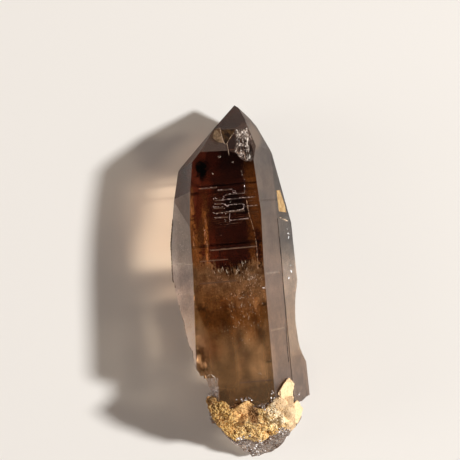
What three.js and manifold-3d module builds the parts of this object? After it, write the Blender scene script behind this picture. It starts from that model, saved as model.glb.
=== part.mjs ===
// A smoky lemurian quartz crystal with an ochre clay crust on its broken foot.
// Units are millimetres and +Z is up. The crystal lies on one prism face, its long axis
// runs along Y and its tip points to +Y. The origin is on the surface that it lies on,
// under the middle of the whole object.
import * as THREE from 'three';
import { mergeVertices } from 'three/addons/utils/BufferGeometryUtils.js';
import Module from 'manifold-3d';

const wasm = await Module();
wasm.setup();

// ---------------------------------------------------------------- driving dimensions
const AXIS_HEIGHT = 9; // the crystal's axis above the surface that it lies on
const BLANK = 130; // side of the block that the facets are cut from
const CLEARANCE = 0.3; // gap between the crust and the crystal

// A facet is a plane. around is the turn of its normal about the long axis, from straight
// up towards +X, lean is the tilt of the normal towards the tip, and reach is the distance
// of the plane from the axis point at Y = 0. All angles are in degrees.
const FACETS = {
  top: { around: 0, lean: 0.5, reach: 9.0 },
  topTowardsTip: { around: 0, lean: 3.8, reach: 9.18 },
  leftFlank: { around: -61, lean: 3, reach: 14.0 },
  leftPanel: { around: -58, lean: 6.5, reach: 14.9 },
  leftShoulder: { around: -58.5, lean: 9.5, reach: 16.0 },
  lowerLeft: { around: -120, lean: 0, reach: 14.5 },
  lowerLeftTowardsTip: { around: -120, lean: 14, reach: 16.6 },
  bottom: { around: 180, lean: 0, reach: AXIS_HEIGHT },
  lowerRight: { around: 120, lean: 0, reach: 15.0 },
  lowerRightTowardsTip: { around: 118, lean: 13.9, reach: 17.9 },
  rightFlank: { around: 58.5, lean: 0, reach: 10.3 },
  rightTowardsTip: { around: 60, lean: 4.5, reach: 11.5 },
  tipTopLeft: { around: 1.4, lean: 33, reach: 23.59 },
  tipTopMiddle: { around: 3.6, lean: 33.3, reach: 23.7 },
  tipTopRight: { around: 12.9, lean: 29.7, reach: 22.1 },
  tipCap: { around: 3.8, lean: 41.2, reach: 27.6 },
  tipLeftBevel: { around: -70, lean: 41.5, reach: 28.1 },
  tipLeft: { around: -88.5, lean: 45.5, reach: 29.3 },
  tipRight: { around: 62, lean: 38, reach: 28.9 },
  tipRightShoulder: { around: 63, lean: 26.7, reach: 22.8 },
  tipRightEdge: { around: 92, lean: 24, reach: 23.1 },
  tipLowerRight: { around: 118, lean: 38, reach: 30.1 },
  tipUnderside: { around: 180, lean: 38, reach: 29.2 },
};

// A smaller crystal, grown parallel to the main one along its right flank. Its far end is
// cut off square inside the main crystal.
const SIDE_CRYSTAL = {
  top: { around: 56.5, lean: 0, reach: 10.25 },
  inner: { around: -20, lean: 0, reach: -2.4 },
  outer: { around: 95, lean: 1.2, reach: 15.2 },
  outerTowardsTip: { around: 92, lean: 5, reach: 15.62 },
  under: { around: 120, lean: 0, reach: 15.8 },
  end: { around: 56, lean: 50, reach: 17.8 },
  root: { around: -90, lean: 0, reach: -6 },
  floor: { around: 180, lean: 0, reach: 7 },
};
const SIDE_CRYSTAL_FOOT = -47; // Y at which the side crystal's blank ends

// Broken faces of the foot and the flanks. at is a point on the face, size is the width,
// length and depth of what is broken away, pitch is the spacing of the facets that the
// face is made of, ripple and jag are the heights of its waves and of its random steps.
const FRACTURES = [
  { // the long break that undercuts the left flank
    at: [-12.05, -11.4, 8], around: -109, lean: -17, size: [30, 24, 14],
    pitch: 1.8, ripple: 0.22, jag: 0.3, seed: 11,
  },
  { // its steeper end
    at: [-11.05, -20.3, 13], around: -100, lean: -23, size: [26, 13, 12],
    pitch: 1.7, ripple: 0.15, jag: 0.3, seed: 19,
  },
  { // foot, beside the notch
    at: [-9.1, -33.5, 9], around: -99, lean: 0, size: [26, 23, 12],
    pitch: 1.9, ripple: 0.15, jag: 0.35, seed: 23,
  },
  { // foot, left wall
    at: [-5.9, -38.2, 7], around: -98, lean: -33, size: [30, 26, 14],
    pitch: 1.7, ripple: 0.2, jag: 0.6, seed: 37,
  },
  { // foot, right wall
    at: [9.6, -38.8, 6], around: 97, lean: -36, size: [30, 26, 14],
    pitch: 1.8, ripple: 0.2, jag: 0.6, seed: 41,
  },
  { // foot, the short wall right of its lowest point
    at: [3.2, -44.3, 5], around: 84, lean: -67, size: [24, 20, 10],
    pitch: 1.8, ripple: 0.2, jag: 0.5, seed: 43,
  },
  { // end of the side crystal
    at: [16.2, -30.7, 6], around: 90, lean: -80, size: [22, 8.4, 12],
    pitch: 1.5, ripple: 0.15, jag: 0.7, seed: 47,
  },
  { // foot, the slope under the crust
    at: [0, -37.7, 10.1], around: 0, lean: -46.5, size: [40, 30, 20],
    pitch: 1.6, ripple: 0.25, jag: 0.7, seed: 53,
  },
  { // foot, underside
    at: [0, -44.2, 1.2], around: 180, lean: -50, size: [34, 14, 10],
    pitch: 1.9, ripple: 0.1, jag: 0.4, seed: 61,
  },
  { // the notch at the left edge of the foot
    at: [-10.0, -27.6, 15.2], around: -48, lean: 2, size: [12, 9.6, 8],
    pitch: 1.4, ripple: 0.1, jag: 0.3, seed: 71,
  },
];

// Chips and hollows: size is the half width, half length and half height of what is gone,
// bumps is how far it strays from a plain ellipsoid, as a share.
const CHIPS = [
  // long hollow in the lower right edge
  { at: [17.7, -11.5, 3.4], size: [4.6, 12.4, 10], bumps: 0.05, seed: 5, detail: 6 },
  // scar on the right tip facet
  { at: [4.83, 35.55, 16.68], size: [3.2, 6.5, 3.2], bumps: 0.1, seed: 8, detail: 7 },
  // small bites along the left break
  { at: [-16.7, 0.4, 8.6], size: [1.2, 1.5, 1.6], bumps: 0.25, seed: 12, detail: 2 },
  { at: [-15.4, -6.9, 10.2], size: [0.9, 2.2, 1.6], bumps: 0.25, seed: 13, detail: 2 },
  { at: [-13.1, -17.2, 15.2], size: [0.8, 1.9, 1.8], bumps: 0.25, seed: 14, detail: 2 },
  // bites on the right edge
  { at: [15.7, -1.9, 5.0], size: [1.1, 1.3, 1.8], bumps: 0.2, seed: 15, detail: 2 },
  { at: [14.6, -32.0, 5.0], size: [1.6, 1.4, 3.4], bumps: 0.3, seed: 16, detail: 3 },
  { at: [10.9, 35.2, 9.4], size: [1.1, 1.1, 1.3], bumps: 0.3, seed: 18, detail: 2 },
  // bruise on the top right edge
  { at: [7.3, -1.9, 18.2], size: [0.7, 1.1, 0.8], bumps: 0.25, seed: 17, detail: 2 },
];

// Growth lines, the ladder of low steps across the facets that lemurian quartz is known
// for: middle of the line along the crystal and across it, and its length.
const LINE_DEPTH = 0.13;
const LINE_WIDTH = 0.5;
const GROWTH_LINES = [
  { facet: 'topTowardsTip', y: 23.8, across: -5.3, length: 4.4 },
  { facet: 'topTowardsTip', y: 23.0, across: -1.2, length: 3.6 },
  { facet: 'topTowardsTip', y: 21.8, across: 1.2, length: 4.8 },
  { facet: 'topTowardsTip', y: 20.6, across: 1.0, length: 9.6 },
  { facet: 'topTowardsTip', y: 19.7, across: -3.0, length: 2.2 },
  { facet: 'topTowardsTip', y: 19.2, across: 1.1, length: 2.8 },
  { facet: 'topTowardsTip', y: 18.5, across: 4.9, length: 3.0 },
  { facet: 'topTowardsTip', y: 18.7, across: -3.2, length: 2.3 },
  { facet: 'topTowardsTip', y: 17.5, across: -0.4, length: 7.0 },
  { facet: 'topTowardsTip', y: 16.3, across: -2.7, length: 3.2 },
  { facet: 'topTowardsTip', y: 15.4, across: 1.6, length: 4.8 },
  { facet: 'topTowardsTip', y: 8.5, across: -0.5, length: 11.3 },
  { facet: 'topTowardsTip', y: 6.0, across: -5.5, length: 7.0 },
  { facet: 'top', y: 0.6, across: -5.0, length: 9.0 },
  { facet: 'top', y: -24.4, across: 2.0, length: 8.0 },
  { facet: 'leftFlank', y: 5.5, across: 0, length: 12.0 },
  { facet: 'leftFlank', y: -1.8, across: 0, length: 12.0 },
  { facet: 'rightFlank', y: 1.5, across: 0, length: 7.0 },
  { facet: 'rightFlank', y: -12.5, across: 0, length: 7.0 },
  { facet: 'rightTowardsTip', y: 19.5, across: 0, length: 13.0 },
  { facet: 'lowerLeftTowardsTip', y: 16.0, across: 0, length: 12.0 },
  { facet: 'lowerLeftTowardsTip', y: 22.5, across: 0, length: 12.0 },
  { facet: 'lowerRightTowardsTip', y: 19.0, across: 0, length: 11.0 },
  { facet: 'lowerLeft', y: 6.0, across: 0, length: 9.0 },
  { facet: 'bottom', y: 24.0, across: 0, length: 40 },
  { facet: 'bottom', y: 9.0, across: 0, length: 40 },
  { facet: 'bottom', y: -6.5, across: 0, length: 40 },
  { facet: 'bottom', y: -21.0, across: 0, length: 40 },
];

// The groove where the side crystal meets the main one, as points along it.
const SEAM = [
  [11.15, 10.4, 10.55],
  [11.2, 4.2, 10.45],
  [11.0, -3.0, 10.7],
  [11.05, -9.0, 10.65],
  [10.7, -15.0, 11.2],
  [10.65, -21.2, 11.3],
];
const SEAM_WIDTH = 0.5;
const SEAM_DEPTH = 0.75;
const SEAM_STEPS = 20;

// Plan outline of the crust, counter-clockwise from its left end.
const CRUST_OUTLINE = [
  [-10.3, -28.4], [-9.7, -31.0], [-8.2, -34.3], [-6.0, -38.0], [-4.1, -39.5], [-2.1, -39.0],
  [-0.1, -40.0], [2.0, -40.2], [4.1, -39.4], [6.6, -38.3], [7.6, -37.5], [9.4, -38.6],
  [11.1, -37.3], [12.6, -35.4], [13.2, -33.5], [12.0, -30.7], [10.6, -31.8], [11.0, -28.7],
  [11.5, -26.8], [10.9, -25.6], [10.2, -24.9], [8.8, -26.0], [7.9, -27.1], [6.8, -27.9],
  [5.6, -30.0], [4.5, -30.8], [3.4, -31.5], [1.9, -31.2], [0.9, -30.1], [-0.5, -29.0],
  [-1.9, -29.5], [-3.7, -30.6], [-4.9, -30.7], [-5.9, -29.3], [-7.7, -28.0], [-9.7, -26.6],
];
const CRUST_BOTTOM = 4; // height of the crust's lowest point
const CRUST_SLABS = [
  // on the slope of the foot
  {
    at: [0.3, -36.2, 13.2], around: 0, lean: -46.5, size: [21.4, 14.6, 3],
    pitch: 1.5, ripple: 0.25, jag: 0.6, seed: 201,
  },
  // up the right flank
  {
    at: [9.8, -29.0, 14.6], around: 58.5, lean: 0, size: [7, 13, 2.6],
    pitch: 1.5, ripple: 0.15, jag: 0.5, seed: 202,
  },
];
const SLOPE = { around: 0, lean: -46.5, reach: 28.9 }; // plane that the lumps sit on
const CRUST_ROWS = [
  { y: -30.4, from: -9.0, to: 6.4, count: 5 },
  { y: -33.4, from: -8.0, to: 9.0, count: 6 },
  { y: -36.2, from: -6.4, to: 8.0, count: 5 },
  { y: -38.2, from: -4.6, to: 5.6, count: 4 },
];
const ROW_LUMP = { size: [2.5, 2.3, 1.3], spread: 1.3, highest: 8.2 };
const EXTRA_LUMPS = [
  // left end, wrapped over the wall
  { at: [-9.1, -29.8, 16.4], size: [2.6, 2.4, 1.5], around: -50, lean: -35, seed: 131 },
  { at: [-7.9, -33.0, 13.2], size: [2.6, 2.5, 1.4], around: -50, lean: -40, seed: 132 },
  { at: [-5.9, -36.6, 9.8], size: [2.3, 2.4, 1.3], around: -50, lean: -45, seed: 133 },
  // lobe that runs up the right flank
  { at: [8.6, -28.0, 14.9], size: [3.0, 3.4, 1.1], around: 58, lean: 0, seed: 134 },
  { at: [10.0, -26.9, 12.9], size: [2.4, 3.2, 1.2], around: 58, lean: 4, seed: 135 },
  { at: [9.9, -30.6, 12.9], size: [2.6, 2.8, 1.3], around: 58, lean: -10, seed: 136 },
  // pale flake at the end of the right flank
  { at: [11.6, -33.6, 9.8], size: [3.0, 3.2, 1.0], around: 62, lean: -6, seed: 137 },
  { at: [10.7, -36.4, 10.0], size: [2.6, 2.6, 1.2], around: 60, lean: -24, seed: 138 },
];
const CRUST_BUMPS = 0.22;

// ---------------------------------------------------------------- helpers

const LENGTHWISE = new THREE.Vector3(0, 1, 0);
const AXIS_POINT = new THREE.Vector3(0, 0, AXIS_HEIGHT);
const radians = THREE.MathUtils.degToRad;

function randomNumbers(seed) {
  let state = seed;
  return () => {
    state = (state * 1664525 + 1013904223) % 4294967296;
    return state / 4294967296;
  };
}

function facetNormal({ around, lean }) {
  const a = radians(around);
  const l = radians(lean);
  return new THREE.Vector3(Math.sin(a) * Math.cos(l), Math.sin(l), Math.cos(a) * Math.cos(l));
}

// A frame at a point whose Z is the given direction and whose Y is near the long axis.
function frameAt(point, direction) {
  const z = direction.clone().normalize();
  const x = new THREE.Vector3().crossVectors(LENGTHWISE, z).normalize();
  const y = new THREE.Vector3().crossVectors(z, x);
  return new THREE.Matrix4().makeBasis(x, y, z).setPosition(point);
}

function weld(geometry) {
  const bare = geometry.clone();
  bare.deleteAttribute('normal');
  bare.deleteAttribute('uv');
  return mergeVertices(bare, 1e-4);
}

function solidOf(geometry, matrix) {
  const welded = weld(geometry);
  if (matrix) {
    welded.applyMatrix4(matrix);
  }
  return new wasm.Manifold(new wasm.Mesh({
    numProp: 3,
    vertProperties: new Float32Array(welded.attributes.position.array),
    triVerts: new Uint32Array(welded.index.array),
  }));
}

function geometryOf(solid, shift) {
  const mesh = solid.getMesh();
  const geometry = new THREE.BufferGeometry();
  geometry.setAttribute('position', new THREE.BufferAttribute(mesh.vertProperties, 3));
  geometry.setIndex(new THREE.BufferAttribute(mesh.triVerts, 1));
  geometry.translate(shift.x, shift.y, shift.z);
  geometry.computeVertexNormals();
  return geometry;
}

function largestPiece(solid) {
  return solid.decompose().sort((a, b) => b.volume() - a.volume())[0];
}

// A block cut by every facet of a list.
function facetedSolid(facets) {
  let solid = solidOf(new THREE.BoxGeometry(BLANK, BLANK, BLANK));
  for (const facet of Object.values(facets)) {
    const normal = facetNormal(facet);
    const centre = AXIS_POINT.clone().addScaledVector(normal, facet.reach + BLANK / 2);
    const cutter = new THREE.BoxGeometry(BLANK * 2, BLANK * 2, BLANK);
    solid = solid.subtract(solidOf(cutter, frameAt(centre, normal)));
  }
  return solid;
}

// A block with one rough face, which goes through the point at and faces the way that
// around and lean give. The waves on that face spread from one point, as they do on broken
// quartz. The block lies behind the face, or before it if outside is true.
function roughBlock({ at, around, lean, size, pitch, ripple, jag, seed }, outside) {
  const [width, length, depth] = size;
  const columns = Math.round(width / pitch);
  const rows = Math.round(length / pitch);
  const block = weld(new THREE.BoxGeometry(width, length, depth, columns, rows, 1));
  const place = block.attributes.position;
  const next = randomNumbers(seed);
  const source = new THREE.Vector2((next() - 0.5) * width, length * 0.7);
  const roughSide = outside ? -1 : 1;
  for (let i = 0; i < place.count; i += 1) {
    const x = place.getX(i);
    const y = place.getY(i);
    const inside = Math.abs(x) < width / 2 - 0.01 && Math.abs(y) < length / 2 - 0.01;
    if (place.getZ(i) * roughSide > 0 && inside) {
      const wave = ripple * Math.sin(0.9 * Math.hypot(x - source.x, y - source.y));
      place.setX(i, x + (next() - 0.5) * pitch * 0.5);
      place.setY(i, y + (next() - 0.5) * pitch * 0.5);
      place.setZ(i, (roughSide * depth) / 2 + wave + jag * (next() - 0.5));
    }
  }
  const normal = facetNormal({ around, lean });
  const centre = new THREE.Vector3(...at).addScaledVector(normal, (-roughSide * depth) / 2);
  return solidOf(block, frameAt(centre, normal));
}

// An uneven rounded lump. Its third half size is along the direction of around and lean.
function lump({ at, size, bumps, seed, detail, around = 0, lean = 0 }) {
  const ball = weld(new THREE.IcosahedronGeometry(1, detail));
  const place = ball.attributes.position;
  const next = randomNumbers(seed);
  const waves = [0, 1, 2, 3].map(() => ({
    direction: new THREE.Vector3(next() - 0.5, next() - 0.5, next() - 0.5).multiplyScalar(7),
    phase: next() * Math.PI * 2,
  }));
  for (let i = 0; i < place.count; i += 1) {
    const point = new THREE.Vector3().fromBufferAttribute(place, i);
    let swell = 1 + (next() - 0.5) * bumps * 0.6;
    for (const { direction, phase } of waves) {
      swell += (bumps / 3) * Math.sin(point.dot(direction) + phase);
    }
    point.multiplyScalar(swell).multiply(new THREE.Vector3(...size));
    place.setXYZ(i, point.x, point.y, point.z);
  }
  return solidOf(ball, frameAt(new THREE.Vector3(...at), facetNormal({ around, lean })));
}

// A shallow V-shaped groove straight across a facet.
function growthLine({ facet, y, across, length }) {
  const normal = facetNormal(FACETS[facet]);
  const outward = new THREE.Vector3(normal.x, 0, normal.z);
  const distance = (FACETS[facet].reach - normal.y * y) / outward.length();
  const sideways = new THREE.Vector3().crossVectors(LENGTHWISE, normal).normalize();
  const centre = AXIS_POINT.clone()
    .addScaledVector(outward.normalize(), distance)
    .addScaledVector(sideways, across)
    .addScaledVector(LENGTHWISE, y);
  const bar = new THREE.BoxGeometry(length, 1, 1);
  bar.rotateX(Math.PI / 4);
  bar.scale(1, LINE_WIDTH / Math.SQRT2, LINE_DEPTH * Math.SQRT2);
  return solidOf(bar, frameAt(centre, normal));
}

// A wedge swept along the seam, point inwards.
function seamCutter() {
  const path = new THREE.CatmullRomCurve3(SEAM.map((p) => new THREE.Vector3(...p)));
  const outward = facetNormal(SIDE_CRYSTAL.top);
  const wedge = [[-SEAM_DEPTH, 0], [SEAM_DEPTH, -SEAM_WIDTH / 2], [SEAM_DEPTH, SEAM_WIDTH / 2]];
  const position = [];
  const index = [0, 1, 2];
  for (let i = 0; i <= SEAM_STEPS; i += 1) {
    const centre = path.getPoint(i / SEAM_STEPS);
    const side = new THREE.Vector3().crossVectors(outward, path.getTangent(i / SEAM_STEPS));
    side.normalize();
    for (const [out, sideways] of wedge) {
      const corner = centre.clone().addScaledVector(outward, out).addScaledVector(side, sideways);
      position.push(...corner.toArray());
    }
  }
  for (let i = 0; i < SEAM_STEPS * 3; i += 3) {
    for (let j = 0; j < 3; j += 1) {
      const a = i + j;
      const b = i + ((j + 1) % 3);
      index.push(a, b + 3, b, a, a + 3, b + 3);
    }
  }
  const last = SEAM_STEPS * 3;
  index.push(last, last + 2, last + 1);
  const geometry = new THREE.BufferGeometry();
  geometry.setAttribute('position', new THREE.Float32BufferAttribute(position, 3));
  geometry.setIndex(index);
  return solidOf(geometry);
}

// ---------------------------------------------------------------- the crystal
function crystalSolid() {
  const footCut = new THREE.BoxGeometry(BLANK, BLANK, BLANK);
  footCut.translate(0, SIDE_CRYSTAL_FOOT - BLANK / 2, 0);
  const sideCrystal = facetedSolid(SIDE_CRYSTAL).subtract(solidOf(footCut));
  let crystal = facetedSolid(FACETS).add(sideCrystal);
  const cutters = [
    ...FRACTURES.map((fracture) => roughBlock(fracture, true)),
    ...CHIPS.map(lump),
    ...GROWTH_LINES.map(growthLine),
    seamCutter(),
  ];
  for (const cutter of cutters) {
    crystal = crystal.subtract(cutter);
  }
  return largestPiece(crystal);
}

// ---------------------------------------------------------------- the crust
// Lumps in rows across the slope of the foot, each a little out of line.
function rowLumps() {
  const next = randomNumbers(77);
  const normal = facetNormal(SLOPE);
  const lumps = [];
  CRUST_ROWS.forEach(({ y, from, to, count }, row) => {
    for (let i = 0; i < count; i += 1) {
      const x = from + ((to - from) * i) / (count - 1) + (next() - 0.5) * ROW_LUMP.spread;
      const alongY = y + (next() - 0.5) * ROW_LUMP.spread;
      const z = AXIS_HEIGHT + Math.min(ROW_LUMP.highest, (SLOPE.reach - normal.y * alongY) / normal.z);
      const grow = 0.8 + 0.4 * next();
      const size = ROW_LUMP.size.map((half) => half * grow);
      const { around, lean } = SLOPE;
      lumps.push({ at: [x, alongY, z], size, around, lean, seed: 300 + row * 20 + i });
    }
  });
  return lumps;
}

function crustSolid(crystal) {
  const outline = new THREE.Shape(CRUST_OUTLINE.map(([x, y]) => new THREE.Vector2(x, y)));
  const column = new THREE.ExtrudeGeometry(outline, { depth: BLANK, bevelEnabled: false });
  column.translate(0, 0, CRUST_BOTTOM);
  let crust = roughBlock(CRUST_SLABS[0], false).add(roughBlock(CRUST_SLABS[1], false));
  for (const spec of [...rowLumps(), ...EXTRA_LUMPS]) {
    crust = crust.add(lump({ ...spec, bumps: CRUST_BUMPS, detail: 2 }));
  }
  crust = crust.intersect(solidOf(column));
  // the crystal moved by the clearance every way is the crystal grown by the clearance
  for (const x of [-1, 0, 1]) {
    for (const y of [-1, 0, 1]) {
      for (const z of [-1, 0, 1]) {
        const step = new THREE.Vector3(x, y, z).setLength(CLEARANCE);
        crust = crust.subtract(crystal.translate(step.toArray()));
      }
    }
  }
  return largestPiece(crust);
}

// ---------------------------------------------------------------- the object
const crystalBody = crystalSolid();
const crustBody = crustSolid(crystalBody);
const { min, max } = crystalBody.add(crustBody).boundingBox();
const toOrigin = new THREE.Vector3(-(min[0] + max[0]) / 2, -(min[1] + max[1]) / 2, -min[2]);

function piece(name, solid, look) {
  const mesh = new THREE.Mesh(geometryOf(solid, toOrigin), new THREE.MeshStandardMaterial(look));
  mesh.name = name;
  return mesh;
}

const specimen = new THREE.Group();
specimen.add(piece('crystal', crystalBody, { color: 0x5a3b26, roughness: 0.1, metalness: 0 }));
specimen.add(piece('clay_crust', crustBody, { color: 0xc99a58, roughness: 0.95, metalness: 0 }));

export default specimen;
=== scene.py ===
"""A smoky lemurian quartz crystal with an ochre clay crust on its broken foot.

Units are metres. The crystal lies along Y with its tip at +Y, and +Z is up.
"""
import math
import random
from functools import partial

import bmesh
import bpy
from bpy.props import FloatProperty, FloatVectorProperty, IntProperty, PointerProperty
from mathutils import Matrix, Vector, noise
from mathutils.bvhtree import BVHTree


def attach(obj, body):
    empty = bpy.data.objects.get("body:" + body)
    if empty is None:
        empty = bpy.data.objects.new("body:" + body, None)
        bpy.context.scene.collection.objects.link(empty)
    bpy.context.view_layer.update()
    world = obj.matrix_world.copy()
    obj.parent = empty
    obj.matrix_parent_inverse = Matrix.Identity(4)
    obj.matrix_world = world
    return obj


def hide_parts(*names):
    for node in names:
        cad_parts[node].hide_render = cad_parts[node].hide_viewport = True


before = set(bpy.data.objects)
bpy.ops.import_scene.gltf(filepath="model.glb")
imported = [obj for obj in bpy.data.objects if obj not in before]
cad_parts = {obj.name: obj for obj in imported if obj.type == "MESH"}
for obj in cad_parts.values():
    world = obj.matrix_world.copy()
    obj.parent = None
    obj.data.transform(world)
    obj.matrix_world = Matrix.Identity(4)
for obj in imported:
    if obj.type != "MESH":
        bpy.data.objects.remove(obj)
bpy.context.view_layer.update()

bl_info = {
    "name": "Smoky lemurian quartz",
    "version": (1, 0, 0),
    "blender": (4, 5, 0),
    "location": "View3D > Sidebar > Quartz",
    "description": "Builds the crystal, its inner veils and its clay crust around the frame",
    "category": "Object",
}

MM = 0.001
QUARTZ_IOR = 1.55

# ---------------------------------------------------------------- settings


def colour(name, description, default):
    return FloatVectorProperty(
        name=name, description=description, default=default, size=3,
        subtype="COLOR", min=0.0, max=1.0,
    )


def number(name, description, default, low=0.0, **more):
    return FloatProperty(name=name, description=description, default=default, min=low, **more)


class QuartzSettings(bpy.types.PropertyGroup):
    ior: number("Refraction", "Refractive index of the quartz", QUARTZ_IOR, 1.0, max=2.5)
    clearness: number(
        "Clearness", "Share of the light that goes into the quartz", 0.8, max=1.0,
        subtype="FACTOR",
    )
    smoke: number("Smoke", "How fast the quartz absorbs light, per metre", 30.0)
    smoke_colour: colour("Smoke colour", "Colour of light that crosses it", (0.62, 0.4, 0.2))
    deep: colour("Deep smoke", "Tint of the top face over the dark zone", (0.006, 0.0005, 0.0003))
    maroon: colour("Maroon", "Tint of the redder patches in the dark zone", (0.038, 0.003, 0.001))
    cloud: colour("Cloud", "Tint of the top face over the milky zone", (0.46, 0.24, 0.105))
    amber: colour("Amber", "Tint of the top face below the milky zone", (0.125, 0.050, 0.011))
    foot_cloud: colour("Foot cloud", "Tint of the top face near the foot", (0.52, 0.34, 0.18))
    # the streak tints of the two edges are painted glow: light that the lower faces send up through
    # the crystal
    copper_glow: colour("Copper", "Tint of the streaks along the left edge", (0.62, 0.19, 0.035))
    gold_glow: colour("Gold", "Tint of the streaks along the right edge", (0.17, 0.038, 0.004))
    tip: colour("Tip", "Tint of the faces of the tip that look up", (0.19, 0.135, 0.115))
    cap: colour("Cap", "Tint of the face at the very tip", (0.07, 0.04, 0.034))
    honey: colour("Honey", "Tint of the warm wedges inside the tip", (0.32, 0.17, 0.08))
    shoulder: colour("Shoulder", "Tint of the left flank next to the tip", (0.065, 0.018, 0.013))
    panel: colour("Panel", "Tint of the small panel below the shoulder", (0.31, 0.22, 0.19))
    left: colour("Left flank", "Tint of the left flank", (0.85, 0.82, 0.80))
    right: colour("Right flank", "Tint of the right flank", (0.22, 0.16, 0.125))
    side: colour("Side crystal", "Tint of the side crystal", (0.42, 0.34, 0.275))
    under: colour("Underside", "Tint of the faces that look down", (0.40, 0.29, 0.21))
    smoke_under: colour("Smoky underside", "Its tint near the tip", (0.05, 0.022, 0.013))
    broken: colour("Broken", "Tint of broken quartz", (0.40, 0.33, 0.28))
    # the seam tint is painted shade in the groove along the side crystal
    seam: colour("Seam", "Tint of the groove along the side crystal", (0.02, 0.01, 0.007))
    shadow_light: number(
        "Light through", "Share of the key light that the quartz lets through", 0.12, max=1.0,
        subtype="FACTOR",
    )
    seed: IntProperty(name="Seed", description="Where the small bits lie", default=7, min=0)


class StageSettings(bpy.types.PropertyGroup):
    floor: colour("Floor", "Colour of the floor", (0.87, 0.84, 0.79))
    key_power: number(
        "Key light", "Power of the soft key light", 126.0, subtype="POWER", unit="POWER"
    )
    side_power: number(
        "Side light", "Power of the low soft light on the left", 17.0, subtype="POWER",
        unit="POWER",
    )
    fill: colour("Fill", "Colour of the soft light from all round", (1.0, 0.84, 0.75))
    fill_strength: number("Fill strength", "Brightness of the fill at the horizon", 0.58)
    lens: number("Lens", "Focal length of the camera, in millimetres", 122.09, 1.0)


# ---------------------------------------------------------------- mesh helpers

MERGE_REACH = 0.002 * MM  # corners of the solids' triangles that are nearer than this are one
DROP_FROM = 40.0  # millimetres up, above everything
EDGE_STEP = 0.5  # millimetres from one point of an edge line to the next
EDGE_HALVINGS = 12  # how often the search for the edge halves its width
DENT_WAVES, DENT_DEPTH = 3.1, 0.22  # of a chip of unit size
CHIP_TAPER = 0.35
THREAD_STEP = 0.16  # millimetres from one point of a thread to the next
THREAD_SIZES = (0.55, 1.3)  # share of the width that a thread has from place to place
THREAD_END = 0.4  # the same, at its ends
GAP_WAVES = 1.7  # per millimetre, of the gaps in a thread


def clamped(value, low=0.0, high=1.0):
    return max(low, min(high, value))


def linked(name, data):
    """A new object in the scene that shows the data."""
    piece = bpy.data.objects.new(name, data)
    bpy.context.scene.collection.objects.link(piece)
    return piece


def deselect_all():
    if bpy.context.object and bpy.context.object.mode != "OBJECT":
        bpy.ops.object.mode_set(mode="OBJECT")
    bpy.ops.object.select_all(action="DESELECT")


def make_active(piece):
    deselect_all()
    piece.select_set(True)
    bpy.context.view_layer.objects.active = piece


def edit_all(piece):
    """Leaves the piece in edit mode with all of it selected."""
    make_active(piece)
    bpy.ops.object.mode_set(mode="EDIT")
    bpy.ops.mesh.select_all(action="SELECT")


def select_faces(piece, chosen):
    """Leaves the piece in edit mode with the faces that chosen accepts selected."""
    make_active(piece)
    bpy.ops.object.mode_set(mode="EDIT")
    bpy.ops.mesh.select_mode(type="FACE")
    bpy.ops.mesh.select_all(action="DESELECT")
    mesh = bmesh.from_edit_mesh(piece.data)
    for face in mesh.faces:
        face.select_set(chosen(mesh, face))
    mesh.select_flush_mode()
    bmesh.update_edit_mesh(piece.data)


def copy_of_node(node, name):
    """A copy of a CAD node's mesh as an object of its own, with its loose triangles merged."""
    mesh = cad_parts[node].data.copy()
    mesh.name = name
    mesh.materials.clear()
    piece = linked(name, mesh)
    edit_all(piece)
    bpy.ops.mesh.remove_doubles(threshold=MERGE_REACH)
    bpy.ops.object.mode_set(mode="OBJECT")
    return piece


def apply_modifier(piece, kind, **settings):
    make_active(piece)
    modifier = piece.modifiers.new(kind.lower(), kind)
    for key, value in settings.items():
        setattr(modifier, key, value)
    bpy.ops.object.modifier_apply(modifier=modifier.name)


def finish_piece(piece, material):
    piece.data.materials.clear()
    piece.data.materials.append(material)
    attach(piece, "root")


def join(pieces, name):
    """Joins objects into one, with its place in its mesh."""
    make_active(pieces[0])
    for piece in pieces:
        piece.select_set(True)
    bpy.ops.object.join()
    joined = bpy.context.object
    bpy.ops.object.transform_apply(location=True, rotation=True, scale=True)
    joined.name = joined.data.name = name
    return joined


def copies(template, places, name):
    """Copies of a template, each with its own mesh, joined as one piece. The template goes."""
    made = []
    for matrix in places:
        mesh = template.data.copy()
        mesh.transform(matrix)
        made.append(linked(name, mesh))
    bpy.data.objects.remove(template)
    return join(made, name)


def sheet(name, cells, spot_of, thickness, offset):
    """A thin sheet, made from a grid two units wide. spot_of says where a point of the grid
    goes, or None where the sheet has a hole."""
    deselect_all()
    bpy.ops.mesh.primitive_grid_add(x_subdivisions=cells[0], y_subdivisions=cells[1], size=2.0)
    piece = bpy.context.object
    piece.name = piece.data.name = name
    bpy.ops.object.mode_set(mode="EDIT")
    mesh = bmesh.from_edit_mesh(piece.data)
    lost = []
    for vertex in mesh.verts:
        spot = spot_of(vertex.co.x, vertex.co.y)
        if spot is None:
            lost.append(vertex)
        else:
            vertex.co = spot
    bmesh.ops.delete(mesh, geom=lost, context="VERTS")
    bmesh.update_edit_mesh(piece.data)
    bpy.ops.object.mode_set(mode="OBJECT")
    apply_modifier(piece, "SOLIDIFY", thickness=thickness * MM, offset=offset)
    return piece


def sides_of(corners):
    """The sides of a closed outline, each as its two ends."""
    return zip(corners, corners[1:] + corners[:1])


def surface_of(*names):
    """What a ray meets of the named pieces, as one tree."""
    vertices, faces = [], []
    for name in names:
        mesh = bpy.data.objects[name].data
        start = len(vertices)
        vertices.extend(vertex.co.copy() for vertex in mesh.vertices)
        mesh.calc_loop_triangles()
        faces.extend([start + i for i in face.vertices] for face in mesh.loop_triangles)
    return BVHTree.FromPolygons(vertices, faces, all_triangles=True)


def drop(surface, x, y):
    """Where a plumb line at x and y, in millimetres, meets a surface, and its normal there."""
    start = Vector((x, y, DROP_FROM)) * MM
    spot, normal, _, _ = surface.ray_cast(start, Vector((0.0, 0.0, -1.0)))
    return spot, normal


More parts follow.
